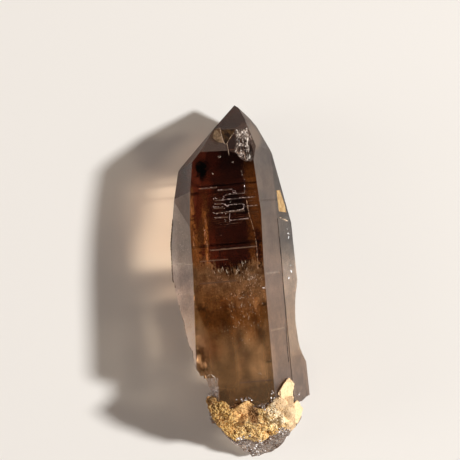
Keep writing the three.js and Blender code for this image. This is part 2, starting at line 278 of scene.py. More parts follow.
def edge_run(surface, start, end, inner, outer, inset):
    """A line just within the outline that a surface shows from above, from one y to another.
    At each y the outline crosses between the x of inner and that of outer."""
    steps = round(abs(end - start) / EDGE_STEP)
    line = []
    for step in range(steps + 1):
        y = start + (end - start) * step / steps
        near, far = inner, outer
        for _ in range(EDGE_HALVINGS):
            middle = (near + far) / 2
            if drop(surface, middle, y)[0] is None:
                far = middle
            else:
                near = middle
        line.append((near - math.copysign(inset, outer - inner), y))
    return line


def sized(size):
    """The matrix that gives a unit shape its three sizes in millimetres."""
    return Matrix.Diagonal((*(part * MM for part in size), 1.0))


def laid(spot, normal, turn, size):
    """The matrix that lays a unit shape on a surface: its Y along the crystal, its Z outwards."""
    across = Vector((0.0, 1.0, 0.0)).cross(normal).normalized()
    axes = Matrix((across, normal.cross(across), normal)).transposed().to_4x4()
    return Matrix.Translation(spot) @ axes @ Matrix.Rotation(turn, 4, "Z") @ sized(size)


def chip_template(name):
    """A faceted chip of unit size, sharpened towards both ends."""
    deselect_all()
    bpy.ops.mesh.primitive_ico_sphere_add(subdivisions=1, radius=1.0)
    chip = bpy.context.object
    chip.name = name
    bpy.ops.object.mode_set(mode="EDIT")
    mesh = bmesh.from_edit_mesh(chip.data)
    for vertex in mesh.verts:
        vertex.co *= 1.0 + DENT_DEPTH * noise.noise(vertex.co * DENT_WAVES)
        vertex.co.x *= 1.0 - CHIP_TAPER * abs(vertex.co.y)
    bmesh.update_edit_mesh(chip.data)
    bpy.ops.object.mode_set(mode="OBJECT")
    return chip


def thread(name, lines, surface, dice, shape, look):
    """Lays thin uneven threads along lines of x and y in millimetres, half sunk in a surface.
    The shape is their width, how deep they sink, how far they waver and how often they stop,
    and the look is what mineral is told of them."""
    width, sink, waver, gaps = shape
    data = bpy.data.curves.new(name, "CURVE")
    data.dimensions = "3D"
    data.bevel_depth = width * MM
    data.bevel_resolution = 0
    data.use_fill_caps = True
    for line in lines:
        run = []
        for (x0, y0), (x1, y1) in zip(line, line[1:]):
            steps = max(2, round(math.hypot(x1 - x0, y1 - y0) / THREAD_STEP))
            run.extend(
                (x0 + (x1 - x0) * i / steps, y0 + (y1 - y0) * i / steps) for i in range(steps)
            )
        run.append(line[-1])
        parts = [[]]
        for x, y in run:
            gap = gaps and noise.noise((x * GAP_WAVES, y * GAP_WAVES, 3.3)) < gaps - 0.5
            x += dice.uniform(-waver, waver)
            y += dice.uniform(-waver, waver)
            spot, normal = drop(surface, x, y)
            if gap or spot is None:
                parts.append([])
            else:
                parts[-1].append((spot - normal * sink * MM, dice.uniform(*THREAD_SIZES)))
        for part in (part for part in parts if len(part) > 2):
            spline = data.splines.new("POLY")
            spline.points.add(len(part) - 1)
            for point, (spot, size) in zip(spline.points, part):
                point.co = (*spot, 1.0)
                point.radius = size
            for end in (0, -1):
                spline.points[end].radius *= THREAD_END
    if not data.splines:
        raise RuntimeError(f"{name} lies beside the surface")
    make_active(linked(name, data))
    bpy.ops.object.convert(target="MESH")
    finish_piece(bpy.context.object, mineral(name, *look))


# ---------------------------------------------------------------- node helpers


class Tree:
    """Adds nodes to a node tree, one call each."""

    def __init__(self, tree):
        self.tree = tree

    def add(self, kind, inputs=None, **settings):
        node = self.tree.nodes.new(kind)
        for key, value in settings.items():
            setattr(node, key, value)
        for key, value in (inputs or {}).items():
            if isinstance(value, bpy.types.NodeSocket):
                self.tree.links.new(value, node.inputs[key])
            else:
                node.inputs[key].default_value = value
        return node

    def math(self, operation, a, b, c=0.0):
        return self.add("ShaderNodeMath", {0: a, 1: b, 2: c}, operation=operation).outputs[0]

    def scaled(self, value, by, plus):
        return self.math("MULTIPLY_ADD", value, by, plus)

    def larger(self, a, b):
        return self.math("MAXIMUM", a, b)

    def vector(self, operation, inputs):
        return self.add("ShaderNodeVectorMath", inputs, operation=operation).outputs[0]

    def between(self, value, low, high):
        """0 at low, 1 at high, smooth between them. low may be above high."""
        return self.add(
            "ShaderNodeMapRange", {"Value": value, "From Min": low, "From Max": high},
            interpolation_type="SMOOTHSTEP",
        ).outputs[0]

    def product(self, *masks):
        """The product of masks. A mask may be given as what between is told."""
        masks = [self.between(*mask) if isinstance(mask, tuple) else mask for mask in masks]
        result = masks[0] if masks else 1.0
        for mask in masks[1:]:
            result = self.math("MULTIPLY", result, mask)
        return result

    def mix(self, factor, a, b, blend="MIX"):
        a, b = (
            value if isinstance(value, bpy.types.NodeSocket) else (*value, 1.0) for value in (a, b)
        )
        return self.add(
            "ShaderNodeMix", {0: factor, 6: a, 7: b}, data_type="RGBA", blend_type=blend
        ).outputs[2]

    def over(self, base, colour, *masks):
        """The colour over the base where all the masks are 1."""
        return self.mix(self.product(*masks), base, colour)

    def times(self, base, colour, *masks):
        """The base multiplied by the colour where all the masks are 1."""
        return self.mix(self.product(*masks), base, colour, "MULTIPLY")

    def inside(self, x, y, corners, soft):
        """1 inside a polygon of x and y, going clockwise round convex corners, 0 outside."""
        sides = []
        for (x0, y0), (x1, y1) in sides_of(corners):
            long = math.hypot(x1 - x0, y1 - y0)
            a, b = (y1 - y0) / long, -(x1 - x0) / long
            side = self.scaled(x, a, self.scaled(y, b, -(a * x0 + b * y0)))
            sides.append((side, -soft, soft))
        return self.product(*sides)

    def attribute(self, name, output="Fac"):
        return self.add("ShaderNodeAttribute", attribute_name=name).outputs[output]

    def place(self):
        """Object coordinates in millimetres, and their X, Y and Z."""
        metres = self.add("ShaderNodeTexCoord").outputs["Object"]
        scaled = self.vector("MULTIPLY", {0: metres, 1: (1.0 / MM,) * 3})
        axes = self.add("ShaderNodeSeparateXYZ", {0: scaled}).outputs
        return scaled, axes[0], axes[1], axes[2]

    def facing(self):
        """The X, Y and Z of the way that the surface looks."""
        normal = self.add("ShaderNodeNewGeometry").outputs["Normal"]
        return self.add("ShaderNodeSeparateXYZ", {0: normal}).outputs

    def cloud(self, place, scale, detail, distortion=0.0):
        return self.add(
            "ShaderNodeTexNoise",
            {"Vector": place, "Scale": scale, "Detail": detail, "Distortion": distortion},
        ).outputs["Fac"]

    def waves(self, place, scale, distortion, detail, detail_scale=1.0, direction="Y"):
        return self.add(
            "ShaderNodeTexWave",
            {"Vector": place, "Scale": scale, "Distortion": distortion, "Detail": detail,
             "Detail Scale": detail_scale}, bands_direction=direction,
        ).outputs["Fac"]

    def bump(self, height, strength, distance):
        return self.add(
            "ShaderNodeBump", {"Height": height, "Strength": strength, "Distance": distance * MM}
        ).outputs["Normal"]

    def group(self, name, *values):
        """Adds a node group, with the values of its inputs in their order."""
        node = self.add("ShaderNodeGroup", dict(enumerate(values)), node_tree=GROUPS[name])
        return node.outputs

    def grain(self, place, scale, low, high):
        return self.group("grain", place, scale, low, high)[0]

    def streaks(self, place, across, along, low, high):
        return self.group("streaks", place, across, along, low, high)[0]

    def opaque(self, inputs):
        """Ends a material in a surface that hides what is behind it."""
        solid = self.add("ShaderNodeBsdfPrincipled", inputs)
        self.add("ShaderNodeOutputMaterial", {"Surface": solid.outputs[0]})


def new_material(name):
    material = bpy.data.materials.new(name)
    material.use_nodes = True
    material.node_tree.nodes.clear()
    return material, Tree(material.node_tree)


def new_group(name, numbers, outputs):
    """A node group that is given a place and the named numbers: itself, its tree, its inputs."""
    group = bpy.data.node_groups.new(name, "ShaderNodeTree")
    group.interface.new_socket("Vector", in_out="INPUT", socket_type=VECTOR)
    for socket, default in numbers.items():
        made = group.interface.new_socket(socket, in_out="INPUT", socket_type=FLOAT)
        made.default_value = default
    for socket, kind in outputs.items():
        group.interface.new_socket(socket, in_out="OUTPUT", socket_type=kind)
    t = Tree(group)
    return group, t, t.add("NodeGroupInput").outputs


FLOAT, VECTOR = "NodeSocketFloat", "NodeSocketVector"


def streaks_group():
    """Long soft streaks along the crystal."""
    group, t, given = new_group(
        "streaks", {"Across": 1.0, "Along": 0.2, "Low": 0.4, "High": 0.6}, {"Mask": FLOAT}
    )
    across = given["Across"]
    stretch = t.add("ShaderNodeCombineXYZ", {0: across, 1: given["Along"], 2: across})
    vector = t.vector("MULTIPLY", {0: given["Vector"], 1: stretch.outputs[0]})
    mask = t.between(t.cloud(vector, 1.0, 4.0), given["Low"], given["High"])
    t.add("NodeGroupOutput", {"Mask": mask})
    return group


def grain_group():
    """Even grain of one size."""
    group, t, given = new_group(
        "grain", {"Scale": 1.0, "Low": 0.4, "High": 0.6}, {"Mask": FLOAT}
    )
    waves = t.cloud(given["Vector"], given["Scale"], 5.0)
    t.add("NodeGroupOutput", {"Mask": t.between(waves, given["Low"], given["High"])})
    return group


def glitter_group():
    """Tiny faces that each look another way, and a random value for each."""
    group, t, given = new_group(
        "glitter", {"Scale": 3.0, "Tilt": 0.8}, {"Normal": VECTOR, "Value": FLOAT}
    )
    cells = t.add("ShaderNodeTexVoronoi", {"Vector": given["Vector"], "Scale": given["Scale"]})
    centred = t.vector("SUBTRACT", {0: cells.outputs["Color"], 1: (0.5, 0.5, 0.5)})
    tilted = t.vector("SCALE", {0: centred, "Scale": given["Tilt"]})
    normal = t.add("ShaderNodeNewGeometry").outputs["Normal"]
    unit = t.vector("NORMALIZE", {0: t.vector("ADD", {0: normal, 1: tilted})})
    value = t.add("ShaderNodeSeparateColor", {0: cells.outputs["Color"]}).outputs[0]
    t.add("NodeGroupOutput", {"Normal": unit, "Value": value})
    return group


# ---------------------------------------------------------------- the quartz

# The grown faces that take each finish. A face is the turn of its normal about the long axis,
# from straight up towards +X, and the lean of the normal to the tip, in degrees.
GROWN_FACES = {
    "window": ((0, 0.5), (0, 3.8)),
    "tip": ((1.4, 33), (3.6, 33.3), (12.9, 29.7)),
    "cap": ((3.8, 41.2),),
    "shoulder": ((-70, 41.5), (-88.5, 45.5), (-58.5, 9.5)),
    "panel": ((-58, 6.5),),
    "left": ((-61, 3),),
    "right": ((58.5, 0), (60, 4.5), (63, 26.7), (62, 38)),
    "side": ((56.5, 0), (95, 1.2), (92, 5), (92, 24), (56, 50)),
    "under": (
        (-120, 0), (-120, 14), (180, 0), (120, 0), (118, 13.9), (118, 38), (180, 38),
    ),
}
FROST = {  # how far each finish is frosted
    "window": 0.0, "tip": 0.1, "cap": 0.2, "shoulder": 0.6, "panel": 0.8, "left": 1.0,
    "right": 1.0, "side": 1.0, "under": 0.35,
}
SAME_FACE = 0.8  # degrees that a face may be off and still be the named one
SAME_WALL = 2.0  # the same, of the walls of growth lines
SMALLEST_FACE = 0.3 * MM * MM  # a grown face has at least this area
GROOVED_LEAN = 20  # growth lines cross only the faces that lean less than this
GROOVE_TILT = 27.5  # degrees between a growth line's walls and the face that it crosses
GROOVE_WALL = 0.42 * MM  # the walls of growth lines are narrower than this
SEAM_LINE = [  # along the groove where the side crystal meets the main one
    Vector(point) * MM for point in (
        (11.58, 10.9, 10.55), (11.63, 4.7, 10.45), (11.43, -2.5, 10.7), (11.48, -8.5, 10.65),
        (11.13, -14.5, 11.2), (11.08, -20.7, 11.3),
    )
]
SEAM_REACH = 0.9 * MM
SCAR_MIDDLE = Vector((5.26, 36.05, 16.7)) * MM  # hollow on the right face of the tip
SCAR_REACH = Vector((3.5, 6.9, 3.6)) * MM


def direction(around, lean):
    around, lean = math.radians(around), math.radians(lean)
    return Vector((
        math.sin(around) * math.cos(lean), math.sin(lean), math.cos(around) * math.cos(lean),
    ))


def near_line(point, line, reach):
    for start, end in zip(line, line[1:]):
        along = (point - start).dot(end - start) / (end - start).length_squared
        if (start.lerp(end, clamped(along)) - point).length < reach:
            return True
    return False


def in_scar(point):
    offset = point - SCAR_MIDDLE
    return sum((offset[i] / SCAR_REACH[i]) ** 2 for i in range(3)) < 1.0


def mark_faces(piece, settings):
    """Writes the finish of each face as attributes: its tint, and how far it is frosted, etched,
    broken, scarred or part of the clear window."""
    mesh = piece.data
    named = [
        (direction(*angles), finish) for finish, faces in GROWN_FACES.items() for angles in faces
    ]
    grooves = [
        (direction(around, lean + tilt), direction(around, lean), finish)
        for finish, faces in GROWN_FACES.items() if finish not in ("tip", "cap")
        for around, lean in faces if abs(lean) < GROOVED_LEAN
        for tilt in (-GROOVE_TILT, GROOVE_TILT)
    ]
    marks = {name: [] for name in ("window", "frost", "groove", "broken", "scar")}
    tints, facings = [], []
    for face in mesh.polygons:
        corners = [mesh.vertices[i].co for i in face.vertices]
        longest = max((a - b).length for a, b in sides_of(corners))
        slender = face.area < longest * GROOVE_WALL
        middle = sum(corners, Vector()) / len(corners)
        finish = next(
            (name for normal, name in named
             if math.degrees(face.normal.angle(normal, math.pi)) < SAME_FACE
             and face.area > SMALLEST_FACE), "broken",
        )
        groove, facing = False, face.normal
        if finish == "broken" and slender:
            for normal, flat, name in grooves:
                if math.degrees(face.normal.angle(normal, math.pi)) < SAME_WALL:
                    finish, groove, facing = name, True, flat
        # faces in the groove along the side crystal take the seam tint, which is painted shade
        if finish != "window" and slender and near_line(middle, SEAM_LINE, SEAM_REACH):
            finish = "seam"
        tints.extend((*getattr(settings, finish, settings.deep), 1.0))
        facings.extend(facing)
        for name, mark in (
            ("window", finish == "window"), ("frost", FROST.get(finish, 0.0)), ("groove", groove),
            ("broken", finish == "broken"), ("scar", finish == "broken" and in_scar(middle)),
        ):
            marks[name].append(float(mark))
    for name, values in marks.items():
        mesh.attributes.new(name, "FLOAT", "FACE").data.foreach_set("value", values)
    mesh.attributes.new("tint", "FLOAT_COLOR", "FACE").data.foreach_set("color", tints)
    mesh.attributes.new("facing", "FLOAT_VECTOR", "FACE").data.foreach_set("vector", facings)


ROUGH_CUTS = 2  # new vertices on each edge of a broken face
ROUGH_WAVES = ((0.9, 0.16), (2.6, 0.06))  # waves per millimetre and their height in millimetres


def roughen_breaks(piece):
    """Gives the broken faces their fine relief, and leaves their rims where they are."""
    def is_broken(mesh, face):
        return face[mesh.faces.layers.float["broken"]] > 0.5

    select_faces(piece, is_broken)
    bpy.ops.mesh.subdivide(number_cuts=ROUGH_CUTS)
    mesh = bmesh.from_edit_mesh(piece.data)
    mesh.normal_update()
    moves = []
    for vertex in mesh.verts:
        if vertex.link_faces and all(is_broken(mesh, face) for face in vertex.link_faces):
            rise = sum(
                height * noise.noise(vertex.co / MM * waves) for waves, height in ROUGH_WAVES
            )
            moves.append((vertex, vertex.normal * rise * MM))
    for vertex, move in moves:
        vertex.co += move
    bmesh.update_edit_mesh(piece.data)
    bpy.ops.object.mode_set(mode="OBJECT")


# The x and y of the corners of painted patches, in millimetres, clockwise from above.
ETCHED = ((-4.3, 22.8), (6.9, 22.8), (6.9, 15.0), (-4.3, 14.2))
INCLUSION = ((-6.9, 31.7), (-4.8, 31.6), (-3.9, 30.0), (-4.3, 28.0), (-5.8, 25.8), (-7.0, 27.2),
             (-7.6, 29.8))
AMBER_PATCH = ((-10.4, 1.0), (-3.4, 0.4), (0.6, -3.0), (-1.2, -6.8), (-10.4, -7.2))
NOTCH_SHADE = ((-11.4, -13.8), (-9.0, -14.4), (-8.3, -20.6), (-11.0, -20.6))
DARK_BAND = ((4.9, 14.6), (6.9, 13.0), (7.0, -3.2), (6.3, -4.0), (5.5, 3.0), (5.7, 8.9))
STAIN = ((-10.4, -9.6), (-6.2, -10.4), (-4.6, -15.6), (-10.4, -17.4))


def window_tint(t, settings, place, x, y):
    """Tint of the top face: smoke in zones along the crystal, with streaks of painted glow at both
    edges.
    """
    broad = t.streaks(place, 0.3, 0.1, 0.3, 0.7)
    fine = t.streaks(place, 2.4, 0.4, 0.38, 0.66)
    speck = t.grain(place, 1.6, 0.42, 0.68)
    ragged = t.scaled(speck, 1.4, t.scaled(fine, 1.8, y))
    wavy = t.scaled(broad, 2.2, ragged)
    sway = t.math("ADD", speck, x)

    # the dark zone, from the tip to the cloud
    redder = t.larger(
        t.product((broad, -0.3, 0.6), (sway, 0.0, -1.8), (y, 25.3, 27.0)),
        t.product((x, -3.6, -4.6), (broad, 0.9, 0.2)),
    )
    dark = t.over(settings.deep, settings.maroon, redder)
    dark = t.over(dark, settings.maroon, (y, 15.0, 5.0), (fine, 0.1, 1.0), (sway, -0.6, -2.4))
    # the streaks along the left edge are painted glow: light from the right that the lower left
    # faces send up
    widening = t.scaled(t.between(y, 15.0, 11.0), -0.7, sway)
    margin = t.product((widening, -8.3, -9.2), t.scaled(fine, 0.3, 0.3))
    near = t.scaled(speck, 0.35, x)
    streak = t.product((near, -5.7, -6.0), (near, -7.0, -6.65), (ragged, 22.0, 17.0),
                       t.scaled(fine, 0.75, 0.15))
    upper = t.product((sway, -4.6, -6.0), (ragged, 8.0, 13.0), (broad, 0.2, 0.7), 0.07)
    copper_glow = t.larger(t.larger(margin, streak), upper)
    dark = t.over(dark, settings.copper_glow, copper_glow, (ragged, 26.2, 23.4))
    # the streaks along the right edge are painted glow as well, broken into bars
    bars = t.between(t.waves(place, 0.3, 6.0, 4.0), 0.0, 0.5)
    dark = t.over(dark, settings.gold_glow, (sway, 4.1, 5.3), (ragged, 34.0, 29.0),
                  t.scaled(bars, 0.12, 0.36), t.scaled(fine, 0.6, 0.6),
                  t.scaled(t.between(y, 16.0, 24.0), 0.3, 0.8))
    steps = t.waves(place, 0.62, 1.6, 3.0)
    dark = t.over(dark, (0.18, 0.065, 0.035), (steps, 0.72, 0.98),
                  t.streaks(place, 0.7, 3.0, 0.45, 0.6), t.inside(x, y, ETCHED, 0.5), 0.45)
    band = t.inside(sway, y, DARK_BAND, 0.35)
    dark = t.over(dark, settings.deep, band)
    spot = t.inside(t.scaled(speck, 0.9, x), t.scaled(speck, 0.9, y), INCLUSION, 0.8)
    dark = t.over(dark, (0.0, 0.0, 0.0), spot)

    # the cloud, with fibres along the crystal, and the clearer quartz near the foot
    grain = t.scaled(
        t.product(fine, speck), 0.5, t.product(t.grain(place, 0.7, 0.4, 0.62), 0.4)
    )
    cloud, amber, low = (
        t.times(colour, t.mix(grain, thin, thick)) for colour, thin, thick in (
            (settings.cloud, (0.5, 0.45, 0.4), (1.9, 1.95, 2.0)),
            (settings.amber, (0.75, 0.7, 0.65), (1.5, 1.6, 1.75)),
            (settings.foot_cloud, (0.85, 0.85, 0.85), (1.15, 1.15, 1.15)),
        )
    )
    low = t.over(low, (0.42, 0.19, 0.08), t.inside(sway, ragged, STAIN, 2.0))
    duller = t.mix(t.between(sway, -3.0, 4.0), (0.52, 0.48, 0.43), (0.68, 0.66, 0.64))
    low = t.times(low, duller, (y, -8.5, -12.5))
    low = t.times(low, (0.62, 0.60, 0.58), (sway, 1.0, 3.0), (y, -10.5, -12.5), (y, -20.5, -18.5))
    low = t.times(low, (0.30, 0.24, 0.18), t.inside(x, y, NOTCH_SHADE, 0.7))
    milky = t.over(cloud, amber, (wavy, 0.0, -5.0))
    milky = t.over(milky, low, (wavy, -6.0, -13.0))
    milky = t.times(milky, (0.66, 0.54, 0.36), t.inside(sway, ragged, AMBER_PATCH, 2.4))
    milky = t.times(milky, (0.77, 0.77, 0.77), (y, 1.4, -0.4), (y, -8.5, -4.0))
    centre = t.product((sway, -6.2, -4.4), (sway, 4.0, 2.4))
    tint = t.over(dark, milky, (t.scaled(centre, 2.6, wavy), 9.2, 6.4))
    return t.over(tint, settings.deep, band, (y, 0.8, 2.6))


FOOT_STAIN = ((2.6, -37.4), (6.6, -37.2), (6.8, -39.6), (4.6, -41.4), (2.4, -40.4))
FOOT_FROST = (
    ((-3.1, -38.6), (0.2, -38.6), (0.6, -41.0), (-0.9, -42.4), (-2.4, -41.2)),
    ((6.4, -37.0), (9.6, -37.0), (9.4, -39.2), (7.0, -39.8)),
)
TIP_BROWN = ((-3.7, 37.0), (-2.4, 38.7), (-1.2, 39.2), (-0.9, 35.4), (-2.1, 34.9))
TIP_HONEY = ((-2.2, 37.7), (-1.4, 39.3), (-0.5, 38.9), (-0.4, 36.2), (-1.0, 35.5))
TIP_WEDGE = ((-0.5, 38.5), (3.2, 38.3), (1.7, 35.7), (0.2, 34.4), (-0.1, 36.0))
TIP_SMOKE = ((0.5, 38.2), (2.6, 38.0), (3.4, 31.2), (1.0, 31.0), (0.4, 34.4))
BESIDE_FRACTURE = ((7.0, 39.8), (8.3, 38.6), (9.4, 36.5), (9.4, 34.5), (7.8, 32.4), (6.6, 33.5))


def tip_tint(t, settings, x, y, cloudy):
    """Tint of the faces of the tip: grey, with warm and dark wedges seen inside it."""
    wedge = t.mix(cloudy, (0.02, 0.006, 0.003), (0.14, 0.055, 0.02))
    tint = settings.tip
    for corners, soft, inner in (
        (TIP_SMOKE, 0.25, (0.045, 0.012, 0.006)), (TIP_BROWN, 0.35, (0.12, 0.065, 0.035)),
        (TIP_HONEY, 0.15, settings.honey), (TIP_WEDGE, 0.1, wedge),
    ):
        tint = t.over(tint, inner, t.inside(x, y, corners, soft))
    return tint


def smoky_quartz(settings):
    """Clear quartz with smoke in it, tinted by zones that include painted glow and shade, and
    frosted by the finish of its faces.
    """
    material, t = new_material("smoky_quartz")
    place, x, y, z = t.place()
    window, frost, groove, broken, scar = (
        t.attribute(name) for name in ("window", "frost", "groove", "broken", "scar")
    )
    dust = t.grain(place, 3.6, 0.3, 0.7)
    smudge = t.grain(place, 1.4, 0.3, 0.7)
    brushed = t.streaks(place, 3.0, 0.5, 0.3, 0.7)
    weave = t.waves(place, 1.1, 2.0, 2.0, direction="DIAGONAL")
    slant = t.scaled(t.math("MINIMUM", t.math("ADD", x, 10.3), 0.0), -0.8, y)
    shade = t.mix(t.grain(place, 0.35, 0.25, 0.75), (0.80, 0.80, 0.80), (1.18, 1.18, 1.18))
    # dust, smudges, brush marks and the weave are the frost's own texture; the soft zones are
    # painted light and shade on the flanks, darker towards the tip and in patches, paler in bands
    # lower down and low on the left flank; the darker grooves of the growth lines are painted shade
    for by, *masks in (
        ((1.75, 1.74, 1.72), dust, frost),
        ((1.3, 1.26, 1.22), smudge, frost),
        ((0.78, 0.78, 0.80), brushed, frost),
        ((0.76, 0.80, 0.84), (slant, 2.0, 9.0)),
        ((0.76, 0.78, 0.81), (slant, 2.7, 3.7), (x, -9.0, -10.0)),
        ((0.58, 0.56, 0.57), (x, -9.0, -10.0), (y, 6.0, 3.0), (y, -8.5, -4.5)),
        ((0.70, 0.62, 0.58), (y, -17.0, -20.0), (x, 11.0, 12.5)),
        ((0.72, 0.72, 0.73), (y, 0.0, 8.0), (x, -8.0, -10.0)),
        ((0.74, 0.74, 0.76), weave, frost),
        ((1.05, 1.02, 0.94), (y, 0.0, -12.0), (y, -25.0, -19.0)),
        ((1.3, 1.33, 1.4), (y, -9.0, -15.0), (x, -9.0, -10.5)),
        ((0.42, 0.43, 0.46), (x, -9.5, -10.2), (y, 2.0, 11.0)),
        ((1.28, 1.28, 1.26), (y, 8.5, 3.5), (y, -6.5, -1.5)),
        ((0.68, 0.68, 0.70), (x, 7.0, 9.5), (y, 4.0, 11.0)),
        ((0.40, 0.44, 0.49), (x, 11.2, 11.9), (y, 3.0, 7.0)),
        ((0.78, 0.78, 0.78), groove, frost),
    ):
        shade = t.times(shade, by, *masks)
    tint = t.times(t.attribute("tint", "Color"), shade)

    # the notch on the left, the underside and the broken foot
    # broken faces low on the left, under the crystal, are darker and rougher: painted shade
    hidden = t.product(broken, (y, -30.0, -25.0), (x, -5.0, -7.0), (z, 10.5, 8.5))
    tint = t.over(tint, (0.12, 0.07, 0.045), hidden)
    # the broken faces of the notch are painted darker too: painted shade, deepest in its upper part
    pale = t.mix(t.between(y, -19.5, -21.0), (0.09, 0.05, 0.026), (0.50, 0.42, 0.36))
    tint = t.over(tint, pale, broken, (y, -28.0, -27.0), (y, -13.0, -15.0), (x, -5.5, -6.5))
    facing = t.facing()
    tint = t.over(tint, settings.smoke_under, (facing["Z"], -0.1, -0.4), (y, 2.0, 14.0))
    glitter, value = t.group("glitter", place, 1.7, 0.75)
    foot = t.product(broken, (y, -25.0, -28.0))
    glassy = t.mix(t.grain(place, 0.4, 0.42, 0.58), (0.33, 0.23, 0.17), (0.76, 0.64, 0.55))
    glassy = t.over(glassy, (0.30, 0.19, 0.13), t.inside(x, y, FOOT_STAIN, 0.6))
    astray = t.scaled(smudge, 1.6, t.math("SUBTRACT", x, 0.8))
    for corners in FOOT_FROST:
        glassy = t.over(glassy, (0.96, 0.89, 0.82), t.inside(astray, y, corners, 0.5), 0.85)
    tint = t.over(tint, glassy, foot)
    tint = t.over(tint, (0.93, 0.85, 0.77), (value, 0.6, 0.95), foot)

    # the top face and the tip
    tint = t.over(tint, window_tint(t, settings, place, x, y), window)
    tint = t.over(tint, tip_tint(t, settings, x, y, brushed), (facing["Y"], 0.45, 0.47),
                  (facing["Z"], 0.7, 0.72), (facing["Y"], 0.64, 0.62))
    tint = t.over(tint, (0.43, 0.30, 0.21), t.inside(x, y, BESIDE_FRACTURE, 0.8), frost,
                  (z, 5.0, 7.0))
    tint = t.over(tint, (0.05, 0.022, 0.012), scar)

    # faint is the one growth line that hardly shows
    faint = t.product(groove, (x, 10.0, 8.8), (y, 6.2, 6.5), (y, 8.1, 7.8))
    rough = t.scaled(frost, 0.36, 0.015)
    for mask, more in (
        (t.math("SUBTRACT", groove, faint), 0.25), (t.product(dust, frost), 0.12),
        (broken, 0.12), (hidden, 0.5),
    ):
        rough = t.scaled(mask, more, rough)
    ladder = t.waves(place, 0.55, 3.0, 3.0, detail_scale=1.2)
    height = t.scaled(t.product(ladder, frost), 0.7, dust)
    normal = t.mix(foot, t.bump(height, 0.12, 0.06), glitter)
    normal = t.over(normal, t.attribute("facing", "Vector"),
                    t.larger(t.product(groove, 0.7), faint))
    glass = t.add(
        "ShaderNodeBsdfPrincipled",
        {"Base Color": tint, "Roughness": rough, "Normal": normal, "IOR": settings.ior,
         "Transmission Weight": settings.clearness},
    )
    smoke = t.add(
        "ShaderNodeVolumeAbsorption",
        {"Color": (*settings.smoke_colour, 1.0), "Density": settings.smoke},
    )

    # the light that reaches the floor through the quartz
    through = t.add("ShaderNodeBsdfTransparent", {"Color": (1.0, 0.95, 0.86, 1.0)})
    is_shadow = t.add("ShaderNodeLightPath").outputs["Is Shadow Ray"]
    stripe = t.add("ShaderNodeTexNoise", {"W": y, "Scale": 0.55, "Detail": 3.0},
                   noise_dimensions="1D").outputs["Fac"]
    glow = t.product(
        (y, 2.0, 7.0), (y, 32.0, 25.0), (stripe, 0.1, 0.4),
        t.larger(t.math("SUBTRACT", 1.0, window), t.between(x, -3.0, 0.5)),
        t.larger(t.between(x, -9.0, -7.0), t.between(z, 9.0, 4.0)), 0.97,
    )
    beside = t.product((y, 3.0, -4.0), (y, -27.0, -20.0),
                       t.larger(t.between(x, 3.0, 6.0), t.between(z, 10.0, 7.0)))
    share = settings.shadow_light
    for mask, more in (
        (t.between(y, 0.0, 30.0), 0.22), (t.between(y, -3.0, -12.0), 0.14), (beside, 0.42),
    ):
        share = t.scaled(mask, more, share)
    share = t.product(is_shadow, t.larger(share, glow))
    surface = t.add(
        "ShaderNodeMixShader", {0: share, 1: glass.outputs[0], 2: through.outputs[0]}
    )
    t.add(
        "ShaderNodeOutputMaterial",
        {"Surface": surface.outputs[0], "Volume": smoke.outputs[0]},
    )
    return material


FLAT_ANGLE = 0.3  # degrees between faces of the solid that are one flat face


class QUARTZ_OT_crystal(bpy.types.Operator):
    """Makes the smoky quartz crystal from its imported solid"""

    bl_idname = "quartz.crystal"
    bl_label = "Crystal"

    def execute(self, context):
        piece = copy_of_node("crystal", "quartz")
        edit_all(piece)
        bpy.ops.mesh.dissolve_limited(angle_limit=math.radians(FLAT_ANGLE))
        bpy.ops.object.mode_set(mode="OBJECT")
        mark_faces(piece, context.scene.quartz)
        roughen_breaks(piece)
        finish_piece(piece, smoky_quartz(context.scene.quartz))
        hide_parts("crystal")
        return {"FINISHED"}


def mineral(name, dark, light, roughness, scale, tilt=0.5):
    """Opaque mineral in two colours, with small faces that each catch the light their own way."""
    material, t = new_material(name)
    normal, value = t.group("glitter", t.place()[0], scale, tilt)
    tint = t.mix(t.between(value, 0.2, 0.8), dark, light)
    t.opaque({"Base Color": tint, "Roughness": roughness, "Normal": normal, "IOR": QUARTZ_IOR})
    return material


# ---------------------------------------------------------------- marks on and in the quartz

GROWTH_LINES = (  # x and y of the etched steps across the top face
    ((-2.6, 23.51), (-0.8, 23.44), (1.0, 23.38)),
    ((-1.4, 21.84), (-0.6, 22.10), (1.2, 22.47), (3.7, 22.12)),
    ((-3.5, 21.64), (-2.9, 21.32), (-2.1, 20.90), (-0.8, 21.03), (2.5, 21.10), (6.5, 21.05)),
    ((-3.7, 20.22), (-1.5, 20.08), (-0.7, 19.39), (0.2, 19.67), (2.8, 19.63), (3.5, 19.37)),
    ((-4.0, 19.44), (-2.9, 19.39), (-1.7, 19.36)),
    ((-0.4, 15.83), (1.7, 15.86), (4.4, 15.96)),
    ((3.9, 18.97), (5.2, 18.97), (6.9, 18.94)),
    ((-3.7, 21.68), (-4.0, 20.42), (-4.0, 19.34)),
    ((3.7, 20.99), (3.6, 19.48), (3.3, 18.28)),
    ((-0.0, 17.84), (-0.3, 16.63), (-0.3, 15.40)),
    ((-3.7, 17.81), (-3.9, 16.72)),
    ((1.1, 22.67), (1.2, 23.16), (1.9, 22.73)),
    ((-1.1, 19.96), (-0.6, 19.06), (-0.1, 19.78)),
    ((-1.6, 22.06), (-1.0, 21.53), (-1.6, 21.29)),
)
BROAD_LINES = (  # the deeper ones
    ((-7.1, 24.31), (-4.9, 24.31), (-2.7, 24.28)),
    ((-4.5, 18.22), (-3.4, 17.73), (-2.0, 17.83), (-0.1, 18.07), (1.5, 18.10), (3.6, 18.35)),
    ((-3.8, 16.76), (-2.1, 16.80), (-0.7, 16.75)),
)
